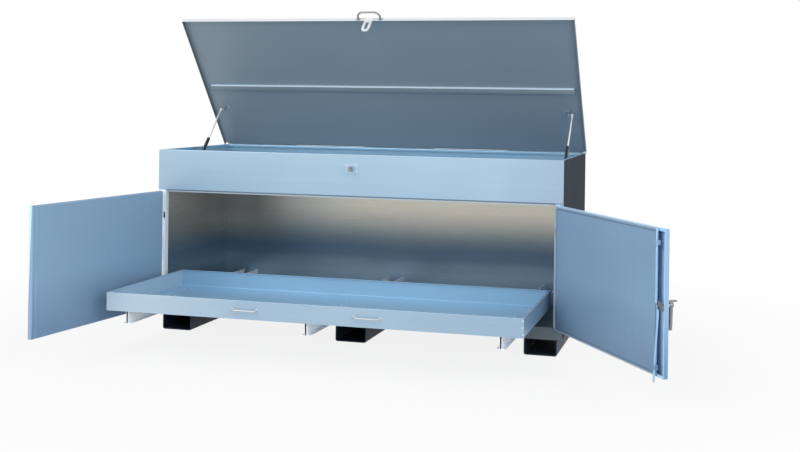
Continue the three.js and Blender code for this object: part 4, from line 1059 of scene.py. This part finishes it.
class BOX_OT_lid(Operator):
    """Finishes the lid and its stiffener with spot welds, and makes its bow handle"""

    bl_idname = "storage_box.lid"
    bl_label = "Lid"

    def execute(self, context):
        along_lid = lid_way(FORWARD)
        front_line = on_lid(FORWARD)[2]

        # Painted light: the front flange's faces take a painted highlight, the side flanges' faces a painted
        # shade.
        def by_flange(centres, normals):
            flange = (np.abs(normals @ along_lid) > 0.5) & (centres[:, 2] > front_line)
            return np.where(flange, 2, np.where(np.abs(normals[:, 0]) > 0.9, 3, 0))

        finishes = ["lid_sheet", "lid_edge", "lid_flange", "lid_return"]
        dressed("lid_pan", finishes, "lid_sheet", sort=by_flange)
        # Painted highlight on the stiffener's forward faces, painted shade on the rest.
        dressed(
            "lid_stiffener",
            ["stiffener_sheet", "stiffener_crest"],
            "lid_sheet",
            sort=lambda centres, normals: np.where(normals @ along_lid > 0.5, 1, 0),
        )
        spots = (-1.15, -0.96, -0.721, -0.48, -0.243, 0.029, 0.231, 0.47, 0.708, 0.94, 1.15)
        lumps = on_lid([(x, *STIFFENER_CREST) for x in spots])
        size = (0.007, 0.0042)
        # The spot welds take the crest's painted highlight.
        rivets("stiffener_spot_welds", lumps, along_lid, "lid", *size, "stiffener_crest", "lid_sheet")
        vertices, faces = handle_parts(0.150, 0.058, 0.006, 0.013, 0.0025)
        back, above = LID_BOW_FOOT
        local = np.stack([vertices[:, 0], back - vertices[:, 1], above + vertices[:, 2]], axis=1)
        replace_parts(piece("lid_bow", (on_lid(local), faces), "bow_coat", "lid"), "lid_handle")
        return {"FINISHED"}


class BOX_OT_hasp(Operator):
    """Hasp strap with a rounded end, hung on its riveted leaf"""

    bl_idname = "storage_box.hasp"
    bl_label = "Hasp"

    def execute(self, context):
        dressed("hasp_hinge_leaf", ["zinc"])
        turn = np.linspace(0.0, 2.0 * np.pi, 72, endpoint=False)
        outer = rounded_outline(turn, 0.0255, -0.0053, -0.112, 9.0, 2.6)
        slot = rounded_outline(turn, 0.009, -0.022, -0.090, 4.0, 4.0)
        tab = rounded_outline(turn, 0.00835, -0.0021, -0.012, 9.0, 9.0)
        knuckle = [(0.0, 0.0021), (0.0, 0.0046), (0.0004, 0.005)]
        knuckle += [(0.0167 - along, out) for along, out in knuckle[::-1]]
        barrel = tube_wall(knuckle, (-0.0085, 0.0, 0.0), SIDEWAYS, 24)
        plates = [pierced_plate(outer, slot, STRAP_THICKNESS), pierced_plate(tab, None, STRAP_THICKNESS)]
        vertices, faces = gathered([plates[0], barrel, plates[1]])
        shape = (on_lid(vertices + HASP_LINE), faces)
        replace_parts(piece("hasp_strap_plate", shape, "zinc", "hasp"), "hasp_strap")
        places = on_lid([(x, -1.0607, -0.021) for x in (-0.015, 0.015)])
        rivets("hasp_leaf_rivets", places, lid_way(FORWARD), "lid", 0.0045, 0.0022)
        return {"FINISHED"}


class BOX_OT_struts(Operator):
    """Gas struts: crimped tube, polished rod, socket ends and their brackets"""

    bl_idname = "storage_box.struts"
    bl_label = "Gas Struts"

    def execute(self, context):
        round_end = [(0.0, 0.004), (0.004, 0.0085), (0.006, 0.0106), (0.010, 0.011)]
        crimp = [(0.329, 0.011), (0.3315, 0.0102), (0.3355, 0.0102), (0.338, 0.011)]
        open_end = [(0.347, 0.0108), (0.350, 0.0095), (0.350, 0.0060)]
        tube = round_end + crimp + open_end
        neck = [(0.0, 0.0045), (0.016, 0.0045)]
        rod = [(0.0, 0.0046), (0.0006, 0.005), (0.265, 0.005)]
        ferrule = [(0.0, 0.0054), (0.0015, 0.0068), (0.016, 0.0068), (0.020, 0.0045)]
        for hand in SIDES:
            dressed(f"{hand}_strut_base_bracket", ["zinc"])
            dressed(f"{hand}_strut_lid_bracket", ["bracket_coat"])
            lower = [
                revolved(tube, along_strut(hand, 0.014), STRUT_WAY, 36),
                revolved(neck, along_strut(hand, 0.006), STRUT_WAY, 20),
                socket_end(along_strut(hand, 0.0, STRUT_EYE_SIDE), 0.0100),
            ]
            body = f"{hand}_strut_tube"
            name, slot = f"{hand}_strut_cylinder", "strut_tube_paint"
            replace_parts(piece(name, gathered(lower), "strut_paint", body), body)
            upper = [
                revolved(rod, along_strut(hand, 0.351), STRUT_WAY, 28),
                revolved(ferrule, along_strut(hand, STRUT_LENGTH - 0.024), STRUT_WAY, 28),
                socket_end(along_strut(hand, STRUT_LENGTH, STRUT_EYE_SIDE), 0.0090),
            ]
            body = f"{hand}_strut_rod"
            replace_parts(piece(f"{hand}_strut_piston", gathered(upper), "bright_rod", body), body)
        return {"FINISHED"}


class BOX_OT_stage(Operator):
    """Pale floor, soft studio light and the camera"""

    bl_idname = "storage_box.stage"
    bl_label = "Studio"

    def execute(self, context):
        stage = context.scene.box_stage
        context.scene.view_settings.view_transform = "Standard"
        self.floor()
        self.world(stage)
        self.lamp("key", (-3.4, -6.2, 5.6), (0.0, -0.2, 0.6), stage.key)
        self.lamp("fill", (5.6, -5.6, 3.0), (0.0, -0.4, 0.6), stage.fill)
        self.camera(stage)
        return {"FINISHED"}

    def floor(self):
        """White where it is seen, a little less so near the box, and grey for the light it throws back."""
        finish = Finish("studio_floor")
        paper = finish.noise(3.0, detail=3.0)
        colour = finish.blend(paper, (0.58, 0.58, 0.58), (0.62, 0.62, 0.62))
        plain = finish.node("ShaderNodeBsdfDiffuse", {"Color": colour})
        glow = finish.node("ShaderNodeEmission", {"Color": WHITE, "Strength": 1.0})
        away = (finish.axis("X") ** 2.0 + (finish.axis("Y") + 0.5) ** 2.0) ** 0.5
        share = finish.seen() * finish.clamped(0.86 + finish.clamped((away - 1.9) * 0.5) * 0.14)
        finish.mixed(share, plain, glow, "ShaderNodeOutputMaterial")
        mesh = bpy.data.meshes.new("studio_floor")
        far = 30.0
        corners = [(-far, -far, 0), (far, -far, 0), (far, far, 0), (-far, far, 0)]
        mesh.from_pydata(corners, [], [(0, 1, 2, 3)])
        mesh.materials.append(finish.material)
        added("studio_floor", mesh)

    def world(self, stage):
        """Soft light from all round, and white where it is seen."""
        world = bpy.data.worlds.new("studio")
        world.use_nodes = True
        bpy.context.scene.world = world
        finish = Finish("studio", world.node_tree)
        soft = finish.node("ShaderNodeBackground", {"Color": WHITE, "Strength": stage.sky})
        white = finish.node("ShaderNodeBackground", {"Color": WHITE, "Strength": 1.0})
        finish.mixed(finish.seen(), soft, white, "ShaderNodeOutputWorld")

    def lamp(self, name, place, target, power):
        light = bpy.data.lights.new(name, "AREA")
        light.energy = power
        light.size = LAMP_SIZE
        place = Vector(place)
        turn = (Vector(target) - place).to_track_quat("-Z", "Y").to_matrix().to_4x4()
        added(name, light).matrix_world = Matrix.Translation(place) @ turn

    def camera(self, stage):
        """The camera that was solved from the photo's straight edges."""
        data = bpy.data.cameras.new("camera")
        data.lens = stage.lens
        data.sensor_width = 36.0
        data.shift_y = CAMERA_SHIFT
        camera = added("camera", data)
        camera.matrix_world = Matrix.Translation(CAMERA_PLACE)
        for angle, axis in ((-CAMERA_YAW, "Z"), (math.pi / 2, "X"), (CAMERA_ROLL, "Z")):
            camera.matrix_world @= Matrix.Rotation(angle, 4, axis)
        bpy.context.scene.camera = camera


class BOX_PT_panel(Panel):
    """Lists the settings and the pieces of the storage box"""

    bl_label = "Storage Box"
    bl_idname = "BOX_PT_panel"
    bl_space_type = "VIEW_3D"
    bl_region_type = "UI"
    bl_category = "Storage Box"

    def draw(self, context):
        layout = self.layout
        for group in (context.scene.box_sizes, context.scene.box_finish, context.scene.box_stage):
            column = layout.column()
            for key in group.__annotations__:
                column.prop(group, key)
        for operator in OPERATORS:
            layout.operator(operator.bl_idname)


OPERATORS = (
    *(BOX_OT_body, BOX_OT_skids, BOX_OT_hinges, BOX_OT_staple, BOX_OT_drawer, BOX_OT_rollers),
    *(BOX_OT_doors, BOX_OT_latch, BOX_OT_lid, BOX_OT_hasp, BOX_OT_struts, BOX_OT_stage),
)
CLASSES = (*OPERATORS, BOX_PT_panel)
GROUPS = (("box_sizes", BoxSizes), ("box_finish", BoxFinish), ("box_stage", BoxStage))


def register():
    for name, group in GROUPS:
        bpy.utils.register_class(group)
        setattr(bpy.types.Scene, name, PointerProperty(type=group))
    for made in CLASSES:
        bpy.utils.register_class(made)


def unregister():
    for made in reversed(CLASSES):
        bpy.utils.unregister_class(made)
    for name, group in reversed(GROUPS):
        delattr(bpy.types.Scene, name)
        bpy.utils.unregister_class(group)


def main():
    register()
    for operator in OPERATORS:
        family, action = operator.bl_idname.split(".")
        getattr(getattr(bpy.ops, family), action)()


if __name__ == "__main__":
    main()
